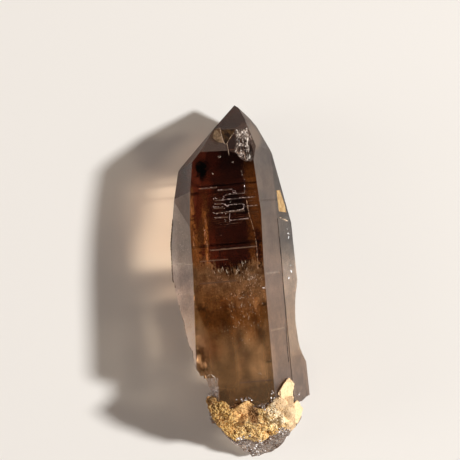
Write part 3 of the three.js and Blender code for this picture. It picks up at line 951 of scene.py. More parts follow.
FAINT_LINES = (  # the ones that hardly show
    ((-5.7, 9.03), (-3.3, 9.08), (-0.7, 9.06), (2.3, 9.01), (5.6, 9.01)),
    ((-3.2, 15.18), (-1.8, 14.80), (-0.1, 14.99), (1.7, 15.10)),
    ((-4.0, 12.29), (-2.5, 12.36)),
    ((3.9, 20.2), (6.8, 20.1)), ((4.1, 22.3), (6.9, 22.2)), ((4.0, 23.6), (6.7, 23.4)),
    ((4.4, 17.4), (6.9, 17.3)), ((-9.9, 12.6), (-8.6, 12.5)), ((-10.2, 9.6), (-8.9, 9.5)),
)
EDGE_LINE = (  # the bright right edge of the dark smoke
    ((4.26, 20.4), (4.5, 17.2), (5.1, 14.3), (5.57, 11.7), (5.69, 8.9), (5.62, 6.0), (5.5, 3.0)),
)
NOTCH_RIM = (  # of the hollow on the left
    ((-9.2, -21.7), (-8.4, -21.2), (-7.4, -22.2), (-7.2, -24.1)),
)
# the dark contour lines are painted shade: the underside seen edge-on along the left outline
CONTOURS = (  # name, y from and to of each run along the left outline, shape, colours
    ("contour_line", ((17.4, 0.2),), (0.22, 0.03, 0.03, 0.0),
     ((0.03, 0.013, 0.008), (0.10, 0.055, 0.035))),
    ("lower_contour", ((-4.0, -12.6), (-14.2, -21.4)), (0.09, 0.03, 0.03, 0.0),
     ((0.08, 0.045, 0.032), (0.22, 0.14, 0.10))),
)
LEFT_EDGE = (-8.0, -18.0, 0.05)  # what edge_run is told of the left outline
TIP_LINES = (  # the edges of the wedges in the tip
    ((2.7, 37.4), (1.4, 35.9), (0.75, 34.8), (0.3, 34.6)),
    ((0.75, 34.8), (0.87, 33.4), (1.0, 31.6)),
    ((-0.7, 39.0), (-0.4, 36.9), (0.1, 34.7)),
)
THREADS = (  # name, lines, shape, colours
    # the pale tone of these lines is partly painted highlight: the light that the edges of the
    # etched steps catch
    ("growth_lines", GROWTH_LINES, (0.07, 0.02, 0.05, 0.22),
     ((0.08, 0.035, 0.026), (0.66, 0.50, 0.45))),
    ("broad_lines", BROAD_LINES, (0.12, 0.05, 0.09, 0.16),
     ((0.07, 0.032, 0.022), (0.60, 0.46, 0.38))),
    ("notch_rim", NOTCH_RIM, (0.11, 0.02, 0.06, 0.1), ((0.40, 0.33, 0.27), (0.90, 0.84, 0.74))),
    ("faint_lines", FAINT_LINES, (0.06, 0.03, 0.02, 0.3),
     ((0.03, 0.012, 0.006), (0.16, 0.085, 0.05))),
    ("edge_line", EDGE_LINE, (0.075, 0.03, 0.03, 0.1), ((0.10, 0.045, 0.02), (0.60, 0.36, 0.20))),
    ("tip_lines", TIP_LINES, (0.075, 0.03, 0.03, 0.0), ((0.25, 0.14, 0.08), (0.75, 0.55, 0.38))),
)
LINE_FINISH = (0.45, 3.0)  # roughness of the lines, and the scale of their small faces


class QUARTZ_OT_growth_lines(bpy.types.Operator):
    """Lays the etched growth lines across the top face"""

    bl_idname = "quartz.growth_lines"
    bl_label = "Growth lines"

    def execute(self, context):
        dice = random.Random(context.scene.quartz.seed)
        surface = surface_of("quartz")
        contours = [
            (name, [edge_run(surface, *run, *LEFT_EDGE) for run in runs], shape, colours)
            for name, runs, shape, colours in CONTOURS
        ]
        for name, lines, shape, colours in (*THREADS, *contours):
            thread(name, lines, surface, dice, shape, (*colours, *LINE_FINISH))
        return {"FINISHED"}


# Name, beds, length from and to, width from and to, height, turn, dark and light of the chips.
# A bed is how many chips lie in it, its middle and half its size.
CHIP_BEDS = (
    # chips along the left edge, painted glow like the streaks under them
    ("copper_streaks", (
        (5, (-9.5, 9.0), (0.4, 10.0)), (14, (-6.45, 13.0), (0.35, 5.5)),
        (4, (-6.6, 7.5), (0.5, 2.0)),
    ), (0.3, 1.3), (0.03, 0.06), 0.02, 0.05, (0.14, 0.04, 0.008), (0.46, 0.18, 0.05)),
    ("veil_flecks", (
        (80, (1.6, -0.5), (5.0, 5.0)), (44, (4.0, 1.5), (1.8, 2.6)), (80, (1.0, -8.0), (5.4, 6.5)),
        (22, (-4.0, 3.0), (3.8, 2.2)),
    ), (0.08, 0.36), (0.03, 0.06), 0.02, 0.5, (0.12, 0.062, 0.03), (0.52, 0.38, 0.26)),
    ("feathers", (
        (7, (0.6, 3.4), (0.8, 1.4)), (6, (3.4, 2.4), (0.9, 1.4)), (5, (-3.8, 3.9), (2.0, 1.0)),
        (6, (0.2, -3.0), (2.6, 2.4)), (5, (1.8, 5.2), (0.8, 0.8)),
    ), (0.2, 0.7), (0.03, 0.06), 0.02, 0.35, (0.20, 0.12, 0.07), (0.80, 0.68, 0.50)),
    ("flank_specks", (
        (120, (-12.8, 9.5), (1.8, 7.5)), (40, (-12.4, -2.0), (1.6, 5.0)),
    ), (0.08, 0.18), (0.06, 0.12), 0.03, 1.5, (0.46, 0.43, 0.42), (0.96, 0.93, 0.90)),
    # pale chips in small beds; the bed at the right edge of the top face is a painted highlight,
    # sparkles on that edge
    ("bright_dots", (
        (4, (-3.4, 27.6), (0.15, 0.2)), (5, (3.7, 27.2), (0.2, 0.5)), (3, (1.8, 30.0), (0.5, 0.4)),
        (12, (3.9, 0.6), (1.5, 2.0)), (5, (0.9, 2.2), (0.3, 1.6)), (5, (-6.6, 13.6), (0.3, 3.5)),
        (4, (6.9, -1.3), (0.10, 0.5)), (5, (3.2, -22.0), (1.6, 0.5)), (5, (-1.4, 31.6), (0.7, 0.4)),
        (7, (-0.2, 18.6), (3.6, 3.4)),
    ), (0.05, 0.15), (0.04, 0.08), 0.04, 1.5, (0.32, 0.22, 0.15), (0.80, 0.68, 0.56)),
)
CHIP_SINK = 0.3  # share of a chip's height that is in the surface
CHIP_SPREAD = (0.5, 1.0)  # of the chips in a bed: usual and largest share of the bed's half size
CHIP_FINISH = (0.5, 2.0)  # their roughness, and the scale of their small faces


def strewn(dice, middle, half, spread):
    """A random place in an oval bed, where the bits thin out towards the rim."""
    usual, largest = spread
    return [
        middle[i] + half[i] * clamped(dice.gauss(0.0, usual), -largest, largest) for i in range(2)
    ]


def tumbled(dice, spot, normal, size, shares):
    """The matrix that lays a bit on a surface, turned and stretched at random."""
    turn = dice.uniform(0, 3)
    return laid(spot, normal, turn, [size * dice.uniform(*shares) for _ in range(3)])


def bed_of_chips(name, beds, lengths, widths, height, turn, surface, dice):
    """Chips strewn in oval beds on a surface, and laid along the crystal."""
    places = []
    for count, middle, half in beds:
        for _ in range(count):
            spot, normal = drop(surface, *strewn(dice, middle, half, CHIP_SPREAD))
            size = (dice.uniform(*widths), dice.uniform(*lengths), height)
            angle = dice.gauss(0.0, turn)
            if spot is not None:
                places.append(laid(spot - normal * height * CHIP_SINK * MM, normal, angle, size))
    return copies(chip_template(name + "_chip"), places, name)


class QUARTZ_OT_flecks(bpy.types.Operator):
    """Strews the streaks, which are painted glow, and the flecks that show just under the top face
    """

    bl_idname = "quartz.flecks"
    bl_label = "Streaks and flecks"

    def execute(self, context):
        dice = random.Random(context.scene.quartz.seed + 1)
        surface = surface_of("quartz")
        for name, beds, lengths, widths, height, turn, dark, light in CHIP_BEDS:
            piece = bed_of_chips(name, beds, lengths, widths, height, turn, surface, dice)
            finish_piece(piece, mineral(name, dark, light, *CHIP_FINISH))
        return {"FINISHED"}


VEIL_CELLS = (20, 44)
VEILS = (  # name, x from and to, y from and to, z in the middle, height of its folds
    ("rust_veil", (-9.7, -0.6), (-26.5, -2.0), 14.2, 0.7),
    ("haze_veil", (-5.5, 6.6), (-31.0, -1.5), 11.6, 0.9),
)
VEIL_FADE = 3.0  # millimetres over which a veil fades to its edges
VEIL_WAVES = (0.3, 0.22)  # per millimetre of x and of y, of its folds
VEIL_RAGGED = 0.5  # how ragged its edge is
VEIL_THICKNESS = 0.06  # millimetres


def veil_spot(veil, u, v):
    """Where a point of the grid goes in a veil, or None beyond the veil's ragged edge."""
    _, (left, right), (foot, tip), height, fold = veil
    x = left + (right - left) * ((u + 1) / 2)
    y = foot + (tip - foot) * ((v + 1) / 2)
    if u ** 4 + v ** 4 + VEIL_RAGGED * noise.noise((x, y, height)) > 1.0:
        return None
    z = height + 2.0 * fold * noise.noise((x * VEIL_WAVES[0], y * VEIL_WAVES[1], height))
    return Vector((x, y, z)) * MM


def veil_material(name, sides, ends):
    """A cloudy healed crack: rust and haze with clearer quartz between, fading to its edges."""
    material, t = new_material(name)
    place, x, y, _ = t.place()
    tint = t.mix(t.grain(place, 2.0, 0.3, 0.7), (0.48, 0.25, 0.11), (0.64, 0.40, 0.21))
    tint = t.over(tint, (0.66, 0.47, 0.31), (y, -10.0, -18.0))
    faded = t.product(
        t.scaled(t.grain(place, 0.5, 0.3, 0.55), 0.3, 0.6),
        (x, sides[0], sides[0] + VEIL_FADE), (x, sides[1], sides[1] - VEIL_FADE),
        (y, ends[0], ends[0] + VEIL_FADE), (y, ends[1], ends[1] - VEIL_FADE),
    )
    t.opaque({"Base Color": tint, "Roughness": 0.8, "Alpha": faded})
    return material


class QUARTZ_OT_inner_veils(bpy.types.Operator):
    """Makes the cloudy veils that hang inside the lower half of the crystal"""

    bl_idname = "quartz.inner_veils"
    bl_label = "Inner veils"

    def execute(self, context):
        for veil in VEILS:
            name, sides, ends, _, _ = veil
            piece = sheet(name, VEIL_CELLS, partial(veil_spot, veil), VEIL_THICKNESS, 0.0)
            finish_piece(piece, veil_material(name, sides, ends))
        return {"FINISHED"}


FRACTURE_RIM = (
    (3.1, 38.4), (3.9, 38.4), (5.0, 38.2), (6.2, 39.1), (6.8, 38.2), (7.2, 36.6), (6.9, 34.5),
    (6.6, 32.1), (6.7, 30.8), (6.1, 30.0), (4.5, 30.2), (3.2, 31.0), (2.4, 32.4), (2.5, 33.6),
    (3.1, 35.0), (2.9, 36.5),
)
FRACTURE_MIDDLE = (4.75, 34.8)
FRACTURE_HALF = (2.7, 5.0)
FRACTURE_CELLS = (60, 112)
FRACTURE_RIDGES = ((0.7, 2.4, 0.13), (1.5, 2.6, 0.12), (3.1, 2.4, 0.07))  # waves, crest, height
FRACTURE_SINK = 0.13  # millimetres, so that its rim goes into the face
FRACTURE_THICKNESS = 0.12  # millimetres
FRACTURE_STRIPES = 5.7  # beyond this X the ridges run along the crystal
FRACTURE_SQUEEZE = (0.75, 0.28)  # of the ridges' waves along Y, before that X and beyond it
RIM_WAVES, RIM_RAGGED = 1.7, 0.45  # waves per millimetre and depth of the ragged rim
RIM_REACH = 0.1  # millimetres that the fracture may go past its rim
RIM_WIDTH = 0.5  # millimetres over which the ridges rise from the rim
RIM_SHARE = 0.2  # share of the ridges' height that is there at the rim


def depth_inside(x, y, corners):
    """How far a point is inside a closed outline, or how far outside it as a minus."""
    inside, nearest = False, math.inf
    for (x0, y0), (x1, y1) in sides_of(corners):
        if (y0 > y) != (y1 > y) and x < x0 + (x1 - x0) * (y - y0) / (y1 - y0):
            inside = not inside
        share = ((x - x0) * (x1 - x0) + (y - y0) * (y1 - y0)) / ((x1 - x0) ** 2 + (y1 - y0) ** 2)
        share = clamped(share)
        nearest = min(
            nearest, math.hypot(x - x0 - (x1 - x0) * share, y - y0 - (y1 - y0) * share)
        )
    return nearest if inside else -nearest


def fracture_spot(surface, u, v):
    """Where a point of the grid goes in the fracture, or None beyond its rim."""
    x = FRACTURE_MIDDLE[0] + u * FRACTURE_HALF[0]
    y = FRACTURE_MIDDLE[1] + v * FRACTURE_HALF[1]
    spot, normal = drop(surface, x, y)
    ragged = RIM_RAGGED * noise.noise((x * RIM_WAVES, y * RIM_WAVES, 9.0))
    depth = depth_inside(x, y, FRACTURE_RIM) + ragged
    if depth < -RIM_REACH or spot is None:
        return None
    squeeze = FRACTURE_SQUEEZE[x > FRACTURE_STRIPES]
    rise = sum(
        height * max(0.0, 1.0 - crest * abs(noise.noise((x * waves, y * waves * squeeze, 5.0))))
        for waves, crest, height in FRACTURE_RIDGES
    )
    rise *= clamped(depth / RIM_WIDTH, RIM_SHARE)
    return spot + normal * (rise - FRACTURE_SINK) * MM


def fracture_material():
    """Crinkled lace of pale and dark quartz, with stripes along its right and a painted highlight.
    """
    material, t = new_material("fracture")
    place, x, y, _ = t.place()
    lace = t.streaks(place, 2.4, 1.4, 0.42, 0.60)
    normal, value = t.group("glitter", place, 3.0, 0.55)
    tint = t.mix(lace, (0.07, 0.038, 0.024), (0.46, 0.37, 0.30))
    tint = t.times(tint, (0.62, 0.50, 0.42), (y, 34.6, 33.0), (x, 5.6, 5.0))
    for colour, *masks in (
        ((0.75, 0.67, 0.60), (value, 0.72, 0.9), lace),
        ((0.66, 0.57, 0.49), (x, 5.5, 5.8), (x, 6.4, 6.1), (y, 36.4, 35.4)),
        ((0.07, 0.03, 0.018), (x, 6.3, 6.5), (x, 6.95, 6.75), (y, 36.0, 35.2), (y, 31.5, 32.4)),
        # a pale spot at the lower right, which is a painted highlight
        ((0.85, 0.78, 0.70), (x, 5.3, 5.8), (y, 31.8, 31.2)),
    ):
        tint = t.over(tint, colour, *masks)
    t.opaque({"Base Color": tint, "Roughness": 0.45, "Normal": normal, "IOR": QUARTZ_IOR})
    return material


class QUARTZ_OT_fracture(bpy.types.Operator):
    """Makes the crinkled healed fracture on the right of the tip"""

    bl_idname = "quartz.fracture"
    bl_label = "Fracture"

    def execute(self, context):
        spot_of = partial(fracture_spot, surface_of("quartz"))
        piece = sheet("fracture", FRACTURE_CELLS, spot_of, FRACTURE_THICKNESS, -1.0)
        finish_piece(piece, fracture_material())
        return {"FINISHED"}


PANES = (  # name, corners as x and y, dark, light
    ("dark_wedge", ((-0.45, 38.4), (3.1, 38.25), (2.4, 37.0), (1.6, 35.8), (0.25, 34.6),
                    (-0.15, 36.4)),
     (0.012, 0.005, 0.003), (0.085, 0.042, 0.015)),
    ("smoky_wedge", ((1.0, 34.9), (1.9, 36.1), (2.75, 37.4), (3.1, 36.3), (3.2, 35.0),
                     (2.7, 34.0), (2.4, 33.0), (1.1, 33.0)),
     (0.03, 0.010, 0.006), (0.07, 0.03, 0.016)),
    ("honey_wedge", ((-1.85, 38.85), (-0.75, 38.85), (-0.5, 36.9), (-0.2, 35.0), (-1.5, 35.4),
                     (-2.7, 36.6)),
     (0.10, 0.062, 0.034), (0.24, 0.155, 0.09)),
    ("pale_sliver", ((-1.2, 39.05), (-0.66, 38.9), (-0.32, 36.9), (-0.02, 35.0), (-0.45, 35.7),
                     (-0.78, 37.2)),
     (0.26, 0.16, 0.10), (0.42, 0.29, 0.20)),
    # the amber pane and band are painted light: golden light that passes through the side crystal
    ("amber_pane", ((12.05, 22.3), (12.95, 22.3), (13.9, 18.6), (14.1, 16.6), (12.15, 17.0)),
     (0.30, 0.18, 0.075), (0.42, 0.28, 0.13)),
    ("amber_band", ((12.15, 15.55), (13.3, 15.05), (14.2, 14.6), (14.25, 14.25), (13.2, 14.75),
                    (12.3, 15.15)),
     (0.36, 0.27, 0.18), (0.55, 0.42, 0.30)),
)
PANE_HEIGHT = 0.06  # millimetres, as is its gap
PANE_GAP = 0.01  # between the surface and the underside of a pane
# the glints are white chips that are painted highlights
GLINTS = (  # x, y and size of the glints along the side crystal
    (13.9, 11.4, 0.4), (14.05, 10.2, 0.3), (13.75, 3.4, 0.32), (13.9, 1.75, 0.32),
    (13.05, 0.1, 0.34), (6.45, -1.4, 0.24), (13.9, 12.4, 0.16), (12.3, 2.4, 0.12),
    (12.4, -3.2, 0.07), (13.0, -9.5, 0.08),
)
GLINT_BITS = 3  # chips that make one glint
GLINT_REACH = 0.7  # of its size, how far they may be from its middle
GLINT_SHARES = (0.4, 0.9)  # of its size that a chip has along each of its axes
GLINT_LOOK = ((0.95, 0.93, 0.9), (1.0, 1.0, 1.0), 0.5, 2.0)
# the seam thread is near black: painted shade in the groove where the side crystal meets the main
# one
SEAM_SHAPE = (0.11, 0.02, 0.03, 0.0)
SEAM_LOOK = ((0.012, 0.006, 0.004), (0.05, 0.03, 0.022), 0.8, 1.2)


def pane_material(name, dark, light):
    """Matt colour seen through a clear patch of the quartz, in two soft tones."""
    material, t = new_material(name)
    tint = t.mix(t.streaks(t.place()[0], 1.3, 0.7, 0.38, 0.64), dark, light)
    t.opaque({"Base Color": tint, "Roughness": 0.6, "Specular IOR Level": 0.1})
    return material


def pane(name, corners, surface):
    """A thin pane over the x and y of its corners on a surface."""
    deselect_all()
    bpy.ops.mesh.primitive_circle_add(
        vertices=len(corners), radius=MM, fill_type="NGON", location=(0, 0, 0)
    )
    piece = bpy.context.object
    piece.name = piece.data.name = name
    turning = sum(x0 * y1 - x1 * y0 for (x0, y0), (x1, y1) in sides_of(corners))
    rise = Vector()
    for vertex, (x, y) in zip(piece.data.vertices, corners if turning > 0 else corners[::-1]):
        spot, normal = drop(surface, x, y)
        vertex.co = spot + normal * PANE_GAP * MM
        rise += normal
    edit_all(piece)
    bpy.ops.mesh.extrude_region_move(
        TRANSFORM_OT_translate={"value": rise.normalized() * -PANE_HEIGHT * MM}
    )
    bpy.ops.mesh.select_all(action="SELECT")
    bpy.ops.mesh.normals_make_consistent(inside=False)
    bpy.ops.object.mode_set(mode="OBJECT")
    return piece


class QUARTZ_OT_flank_lights(bpy.types.Operator):
    """Makes the wedges of the tip, and the amber pane of painted light, the glints that are painted
    highlights and the seam of the flank with its painted shade
    """

    bl_idname = "quartz.flank_lights"
    bl_label = "Wedges, panes and glints"

    def execute(self, context):
        dice = random.Random(context.scene.quartz.seed + 2)
        surface = surface_of("quartz")
        for name, corners, dark, light in PANES:
            finish_piece(pane(name, corners, surface), pane_material(name, dark, light))
        places = []
        for x, y, size in GLINTS:
            spot, normal = drop(surface, x, y)
            for _ in range(GLINT_BITS):
                offset = Vector((dice.uniform(-size, size), dice.uniform(-size, size), 0)) * MM
                place = spot + offset * GLINT_REACH
                places.append(tumbled(dice, place, normal, size, GLINT_SHARES))
        glints = copies(chip_template("glint"), places, "glints")
        finish_piece(glints, mineral("glints", *GLINT_LOOK))
        seam = [tuple(point / MM)[:2] for point in SEAM_LINE]
        thread("seam", (seam,), surface, dice, SEAM_SHAPE, SEAM_LOOK)
        return {"FINISHED"}


# ---------------------------------------------------------------- the clay crust

CRUST_VOXEL = 0.17  # millimetres, the size of the mesh that carries the relief
CRUST_WAVES = ((0.35, 0.22), (0.9, 0.12))  # per mm, height in mm
CRUST_CREASES = ((0.75, 0.16), (1.5, 0.22), (2.7, 0.17))  # the same, of folds with sharp crests
CREASE, CREST = 2.4, 0.45  # how sharp those crests are, and their share above the mean
CALM_UNTIL, CALM_RIM = 0.8, 0.4  # shares of the half size: all calm so far, and fading over this
RAGGED_CLAY = -6.8  # to the left of this X, in millimetres, the folds are higher
RAGGED_SHARE = 1.6
CALM_CLAY = (  # middle and half size of where the clay is smooth, and how much of its relief stays
    ((-1.9, -31.5), (1.7, 3.0), 0.35), ((8.8, -27.8), (3.0, 4.2), 0.22),
    ((11.2, -33.8), (2.3, 4.8), 0.2), ((8.6, -32.2), (2.0, 2.6), 0.4),
)
MOUNDS = (((-6.4, -29.6), (1.7, 1.6, 0.9)),)  # middle and half size of clay on the top face
RECESS_SHADOW = ((-0.1, -29.4), (2.2, -29.6), (2.8, -32.4), (2.0, -35.0), (0.4, -34.8), (-0.4, -32.0))
BOULDER = ((-4.2, -30.8), (-1.6, -28.9), (0.2, -28.8), (0.2, -32.6), (-2.4, -35.2))
CREAM_BED = ((7.4, -26.6), (10.4, -31.6), (9.0, -35.7), (5.6, -35.7), (4.2, -31.2))
LOBE = ((7.2, -26.6), (10.7, -23.2), (12.4, -26.2), (11.0, -33.2), (9.4, -34.4), (6.4, -30.4))
FLAKE = ((12.4, -29.0), (14.4, -32.7), (11.0, -39.0), (8.6, -38.8), (9.2, -35.4), (10.6, -31.9))


def crust_rise(spot):
    """How far the clay rises at a spot, both in millimetres."""
    share = 1.0
    for middle, half, calm in CALM_CLAY:
        away = math.hypot(*((spot[i] - middle[i]) / half[i] for i in range(2)))
        share = min(share, calm + (1.0 - calm) * clamped((away - CALM_UNTIL) / CALM_RIM))
    rise = sum(
        height * noise.noise(spot * waves + Vector((waves, 2.0, 5.0)))
        for waves, height in CRUST_WAVES
    )
    for waves, height in CRUST_CREASES:
        fold = abs(noise.noise(spot * waves + Vector((3.0, waves, 1.0))))
        rise += height * (CREST - CREASE * fold)
    return rise * share * (RAGGED_SHARE if spot.x < RAGGED_CLAY else 1.0)


def clay_material():
    """Ochre clay with pits, grains and paler patches, and painted shade in its hollows and in a
    recess.
    """
    material, t = new_material("ochre_clay")
    place, x, y, z = t.place()
    hollow = t.add("ShaderNodeNewGeometry").outputs["Pointiness"]
    value = t.group("glitter", place, 2.7, 0.5)["Value"]
    fine = t.grain(place, 3.0, 0.35, 0.65)
    broad = t.grain(place, 0.35, 0.4, 0.6)
    pits = t.grain(place, 1.1, 0.5, 0.36)
    strands = t.cloud(place, 1.3, 3.0, 1.4)
    fibres = t.cloud(place, 2.2, 3.0, 2.2)
    sway = t.scaled(strands, 1.2, t.math("SUBTRACT", x, 0.6))
    stray = t.scaled(fibres, 1.2, t.math("SUBTRACT", y, 0.6))
    bed = t.inside(sway, stray, CREAM_BED, 1.4)
    smooth = t.mix(fine, (0.74, 0.50, 0.27), (0.88, 0.64, 0.38))
    smooth = t.over(smooth, (0.80, 0.50, 0.18), (fibres, 0.56, 0.64), (y, -28.0, -31.0),
                    (x, 10.6, 9.4))
    tint = t.mix(broad, (0.87, 0.49, 0.13), (1.0, 0.69, 0.25))
    for paint, colour, *masks in (
        (t.times, (0.72, 0.62, 0.43), (x, -3.0, -6.5)),
        (t.times, (0.55, 0.40, 0.34), (x, -6.5, -8.5), (y, -31.0, -27.0)),
        (t.over, (1.0, 0.86, 0.52), value, fine),
        (t.times, (0.50, 0.42, 0.32), (fibres, 0.49, 0.38)),
        (t.over, (1.0, 0.86, 0.55), (fibres, 0.54, 0.66), 0.7),
        (t.over, t.mix(fine, (0.84, 0.48, 0.17), (0.93, 0.59, 0.26)),
         t.inside(sway, stray, BOULDER, 0.8)),
        (t.times, (0.80, 0.72, 0.54), (x, -0.5, -5.5)),
        (t.over, (0.98, 0.82, 0.56), bed, (strands, 0.38, 0.48)),
        (t.over, (0.72, 0.62, 0.44), bed, (strands, 0.57, 0.64), (stray, -34.0, -31.0)),
        (t.over, (0.24, 0.10, 0.024), pits, (value, 0.95, 0.3),
         t.scaled(t.between(x, 0.5, 4.0), -0.45, 0.8)),
        # painted shadow in the recess beside the boulder
        (t.over, (0.20, 0.07, 0.012), t.inside(x, y, RECESS_SHADOW, 0.7), 0.85),
        (t.over, smooth, t.larger(t.inside(sway, stray, LOBE, 0.4),
                                  t.inside(sway, stray, FLAKE, 0.4))),
        # painted shade where the clay is hollow
        (t.over, (0.34, 0.16, 0.045), (hollow, 0.47, 0.40)),
        (t.over, (0.30, 0.21, 0.16), (t.facing()["Z"], 0.5, 0.2), (z, 8.5, 5.5), (x, 4.0, 1.0)),
    ):
        tint = paint(tint, colour, *masks)
    t.opaque({"Base Color": tint, "Roughness": 0.85,
              "Normal": t.bump(t.math("ADD", value, fine), 0.6, 0.08)})
    return material


CRUMBS = 700
CRUMB_SIDES, CRUMB_ENDS = (-8.6, 8.2), (-40, -24)  # x and y from and to
CRUMB_SLOPE = 0.1  # crumbs stay off faces whose normal has less Z
CRUMB_SIZES = (0.10, 0.30)  # millimetres from and to
CRUMB_SHARES = (0.6, 1.1)  # of its size that a crumb has along each of its axes


class QUARTZ_OT_crust(bpy.types.Operator):
    """Makes the ochre clay crust on the foot, and its crumbs"""

    bl_idname = "quartz.crust"
    bl_label = "Clay crust"

    def execute(self, context):
        dice = random.Random(context.scene.quartz.seed + 3)
        pieces = [copy_of_node("clay_crust", "clay")]
        below = surface_of("quartz")
        for middle, half in MOUNDS:
            deselect_all()
            bpy.ops.mesh.primitive_ico_sphere_add(subdivisions=4, radius=1.0)
            mound = context.object
            mound.data.transform(Matrix.Translation(drop(below, *middle)[0]) @ sized(half))
            pieces.append(mound)
        clay = join(pieces, "clay")
        apply_modifier(clay, "REMESH", mode="VOXEL", voxel_size=CRUST_VOXEL * MM)
        vertices = clay.data.vertices
        spots = [
            vertex.co + vertex.normal * crust_rise(vertex.co / MM) * MM for vertex in vertices
        ]
        for vertex, spot in zip(vertices, spots):
            vertex.co = spot
        clay.data.update()
        material = clay_material()
        finish_piece(clay, material)
        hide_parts("clay_crust")

        surface = surface_of("clay")
        places = []
        while len(places) < CRUMBS:
            spot, normal = drop(surface, dice.uniform(*CRUMB_SIDES), dice.uniform(*CRUMB_ENDS))
            if spot is not None and normal.z >= CRUMB_SLOPE:
                size = dice.uniform(*CRUMB_SIZES)
                places.append(tumbled(dice, spot, normal, size, CRUMB_SHARES))
        crumbs = copies(chip_template("crumb"), places, "crumbs")
        finish_piece(crumbs, material)
        return {"FINISHED"}


SHARD_BEDS = (  # shards, middle of the bed, half its size
    (46, (1.5, -40.6), (5.0, 2.2)), (22, (0.4, -43.0), (2.0, 1.2)), (26, (8.6, -37.8), (1.8, 1.0)),
    (30, (-3.0, -39.4), (1.6, 0.9)), (12, (0.2, -28.2), (2.4, 0.5)), (6, (6.0, -28.4), (0.6, 1.4)),
    (10, (4.2, -30.6), (1.2, 0.7)), (6, (12.2, -29.2), (1.4, 0.5)),
    (26, (-2.2, -38.9), (1.1, 0.8)), (20, (8.2, -37.2), (0.9, 0.7)),
)
SHARD_SPREAD = (0.55, 1.2)  # the same as CHIP_SPREAD
SHARD_SIZES = (0.14, 0.38)  # millimetres from and to
SHARD_SHARES = (0.5, 1.2)  # of its size that a shard has along each of its axes
SHARD_LOOK = ((0.24, 0.18, 0.15), (1.0, 0.96, 0.93), 0.15, 1.3, 0.3)
FOOT_RIM = (-33.2, -41.2, -1.0, -14.0, 0.12)  # what edge_run is told of the pale rim
FOOT_RIM_SHAPE = (0.2, 0.05, 0.08, 0.0)
FOOT_RIM_LOOK = ((0.30, 0.22, 0.19), (0.66, 0.54, 0.48), 0.4, 1.5)


class QUARTZ_OT_shards(bpy.types.Operator):
    """Strews small quartz shards over the broken foot and along the crust"""

    bl_idname = "quartz.shards"
    bl_label = "Shards"

    def execute(self, context):
        dice = random.Random(context.scene.quartz.seed + 4)
        surface = surface_of("quartz", "clay")
        places = []
        for count, middle, half in SHARD_BEDS:
            for _ in range(count):
                spot, normal = drop(surface, *strewn(dice, middle, half, SHARD_SPREAD))
                if spot is not None:
                    size = dice.uniform(*SHARD_SIZES)
                    places.append(tumbled(dice, spot, normal, size, SHARD_SHARES))
        shards = copies(chip_template("shard"), places, "shards")
        finish_piece(shards, mineral("shards", *SHARD_LOOK))
        rim = edge_run(surface, *FOOT_RIM)
        thread("foot_rim", (rim,), surface, dice, FOOT_RIM_SHAPE, FOOT_RIM_LOOK)
        return {"FINISHED"}


# ---------------------------------------------------------------- the stage

CAMERA_PLACE = Vector((-0.449, 13.445, 400.0)) * MM
CAMERA_TURN = -5.2  # degrees about the vertical
SENSOR_WIDTH = 36.0  # millimetres
KEY_TURN = 0.0  # degrees from +X, towards the tip
KEY_RISE = 33.5  # degrees above the floor
SIDE_RISE = 13.0  # the same, of the side light at -X
LIGHT_DISTANCE = 3.0  # metres, as are the sizes of the lights and the floor
KEY_WIDTH = 0.34
SIDE_WIDTH = 1.6
FLOOR_SIZE = 6.0
FLOOR_GAP = 0.05 * MM  # keeps the floor clear of the face that the crystal lies on
FILL_OVERHEAD = 0.03  # brightness of the fill straight overhead


def area_light(name, turn, rise, power, width):
    """A round soft light that looks at the crystal from turn degrees from +X, rise degrees up."""
    turn, rise = math.radians(turn), math.radians(rise)
    towards = Vector((
        math.cos(turn) * math.cos(rise), math.sin(turn) * math.cos(rise), math.sin(rise),
    ))
    bpy.ops.object.light_add(type="AREA", location=towards * LIGHT_DISTANCE)
    light = bpy.context.object
    light.name = name
    light.rotation_euler = towards.to_track_quat("Z", "Y").to_euler()
    light.data.energy = power
    light.data.shape = "DISK"
    light.data.size = width


def studio_world(settings):
    """Soft fill, brighter at the horizon than overhead."""
    world = bpy.data.worlds.new("studio")
    world.use_nodes = True
    world.node_tree.nodes.clear()
    t = Tree(world.node_tree)
    seen = t.add("ShaderNodeTexCoord").outputs["Generated"]
    height = t.add("ShaderNodeSeparateXYZ", {0: seen}).outputs["Z"]
    strength = t.add(
        "ShaderNodeMapRange",
        {"Value": height, "To Min": settings.fill_strength, "To Max": FILL_OVERHEAD},
    )
    back = t.add(
        "ShaderNodeBackground", {"Color": (*settings.fill, 1.0), "Strength": strength.outputs[0]}
    )
    t.add("ShaderNodeOutputWorld", {"Surface": back.outputs[0]})
    return world


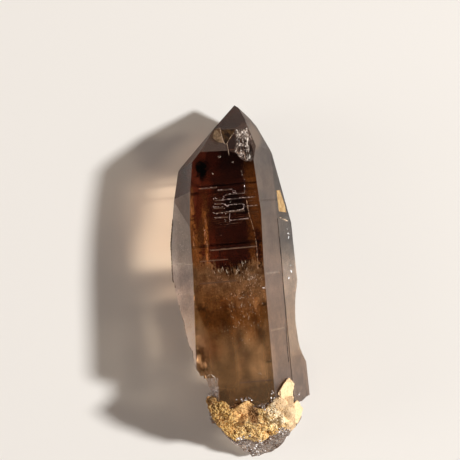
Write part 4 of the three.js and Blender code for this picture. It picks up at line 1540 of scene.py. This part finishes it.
class QUARTZ_OT_stage(bpy.types.Operator):
    """Makes the floor, the lights and the camera"""

    bl_idname = "quartz.stage"
    bl_label = "Stage"

    def execute(self, context):
        settings = context.scene.quartz_stage
        deselect_all()
        bpy.ops.mesh.primitive_plane_add(size=FLOOR_SIZE, location=(0, 0, -FLOOR_GAP))
        floor = context.object
        floor.name = "floor"
        material, t = new_material("pale_floor")
        t.opaque({"Base Color": (*settings.floor, 1.0), "Roughness": 0.9})
        floor.data.materials.append(material)

        area_light("key_light", KEY_TURN, KEY_RISE, settings.key_power, KEY_WIDTH)
        area_light("side_light", 180.0, SIDE_RISE, settings.side_power, SIDE_WIDTH)
        context.scene.world = studio_world(settings)

        bpy.ops.object.camera_add(
            location=CAMERA_PLACE, rotation=(0.0, 0.0, math.radians(CAMERA_TURN))
        )
        camera = context.object
        camera.data.lens = settings.lens
        camera.data.sensor_width = SENSOR_WIDTH
        context.scene.camera = camera
        context.scene.view_settings.view_transform = "Standard"
        return {"FINISHED"}


# ---------------------------------------------------------------- the add-on


class QUARTZ_PT_panel(bpy.types.Panel):
    """Lists the pieces of the specimen"""

    bl_idname = "QUARTZ_PT_panel"
    bl_label = "Quartz"
    bl_space_type = "VIEW_3D"
    bl_region_type = "UI"
    bl_category = "Quartz"

    def draw(self, context):
        for operator in OPERATORS:
            self.layout.operator(operator.bl_idname)


OPERATORS = (
    QUARTZ_OT_stage, QUARTZ_OT_crystal, QUARTZ_OT_inner_veils, QUARTZ_OT_growth_lines,
    QUARTZ_OT_flecks, QUARTZ_OT_fracture, QUARTZ_OT_flank_lights, QUARTZ_OT_crust,
    QUARTZ_OT_shards,
)
CLASSES = (QuartzSettings, StageSettings, *OPERATORS, QUARTZ_PT_panel)
GROUPS = {}


def register():
    for cls in CLASSES:
        bpy.utils.register_class(cls)
    bpy.types.Scene.quartz = PointerProperty(type=QuartzSettings)
    bpy.types.Scene.quartz_stage = PointerProperty(type=StageSettings)


def unregister():
    del bpy.types.Scene.quartz
    del bpy.types.Scene.quartz_stage
    for cls in reversed(CLASSES):
        bpy.utils.unregister_class(cls)


def main():
    register()
    GROUPS.update(streaks=streaks_group(), grain=grain_group(), glitter=glitter_group())
    bpy.ops.quartz.stage()
    bpy.ops.quartz.crystal()
    bpy.ops.quartz.inner_veils()
    bpy.ops.quartz.growth_lines()
    bpy.ops.quartz.flecks()
    bpy.ops.quartz.fracture()
    bpy.ops.quartz.flank_lights()
    bpy.ops.quartz.crust()
    bpy.ops.quartz.shards()


if __name__ == "__main__":
    main()
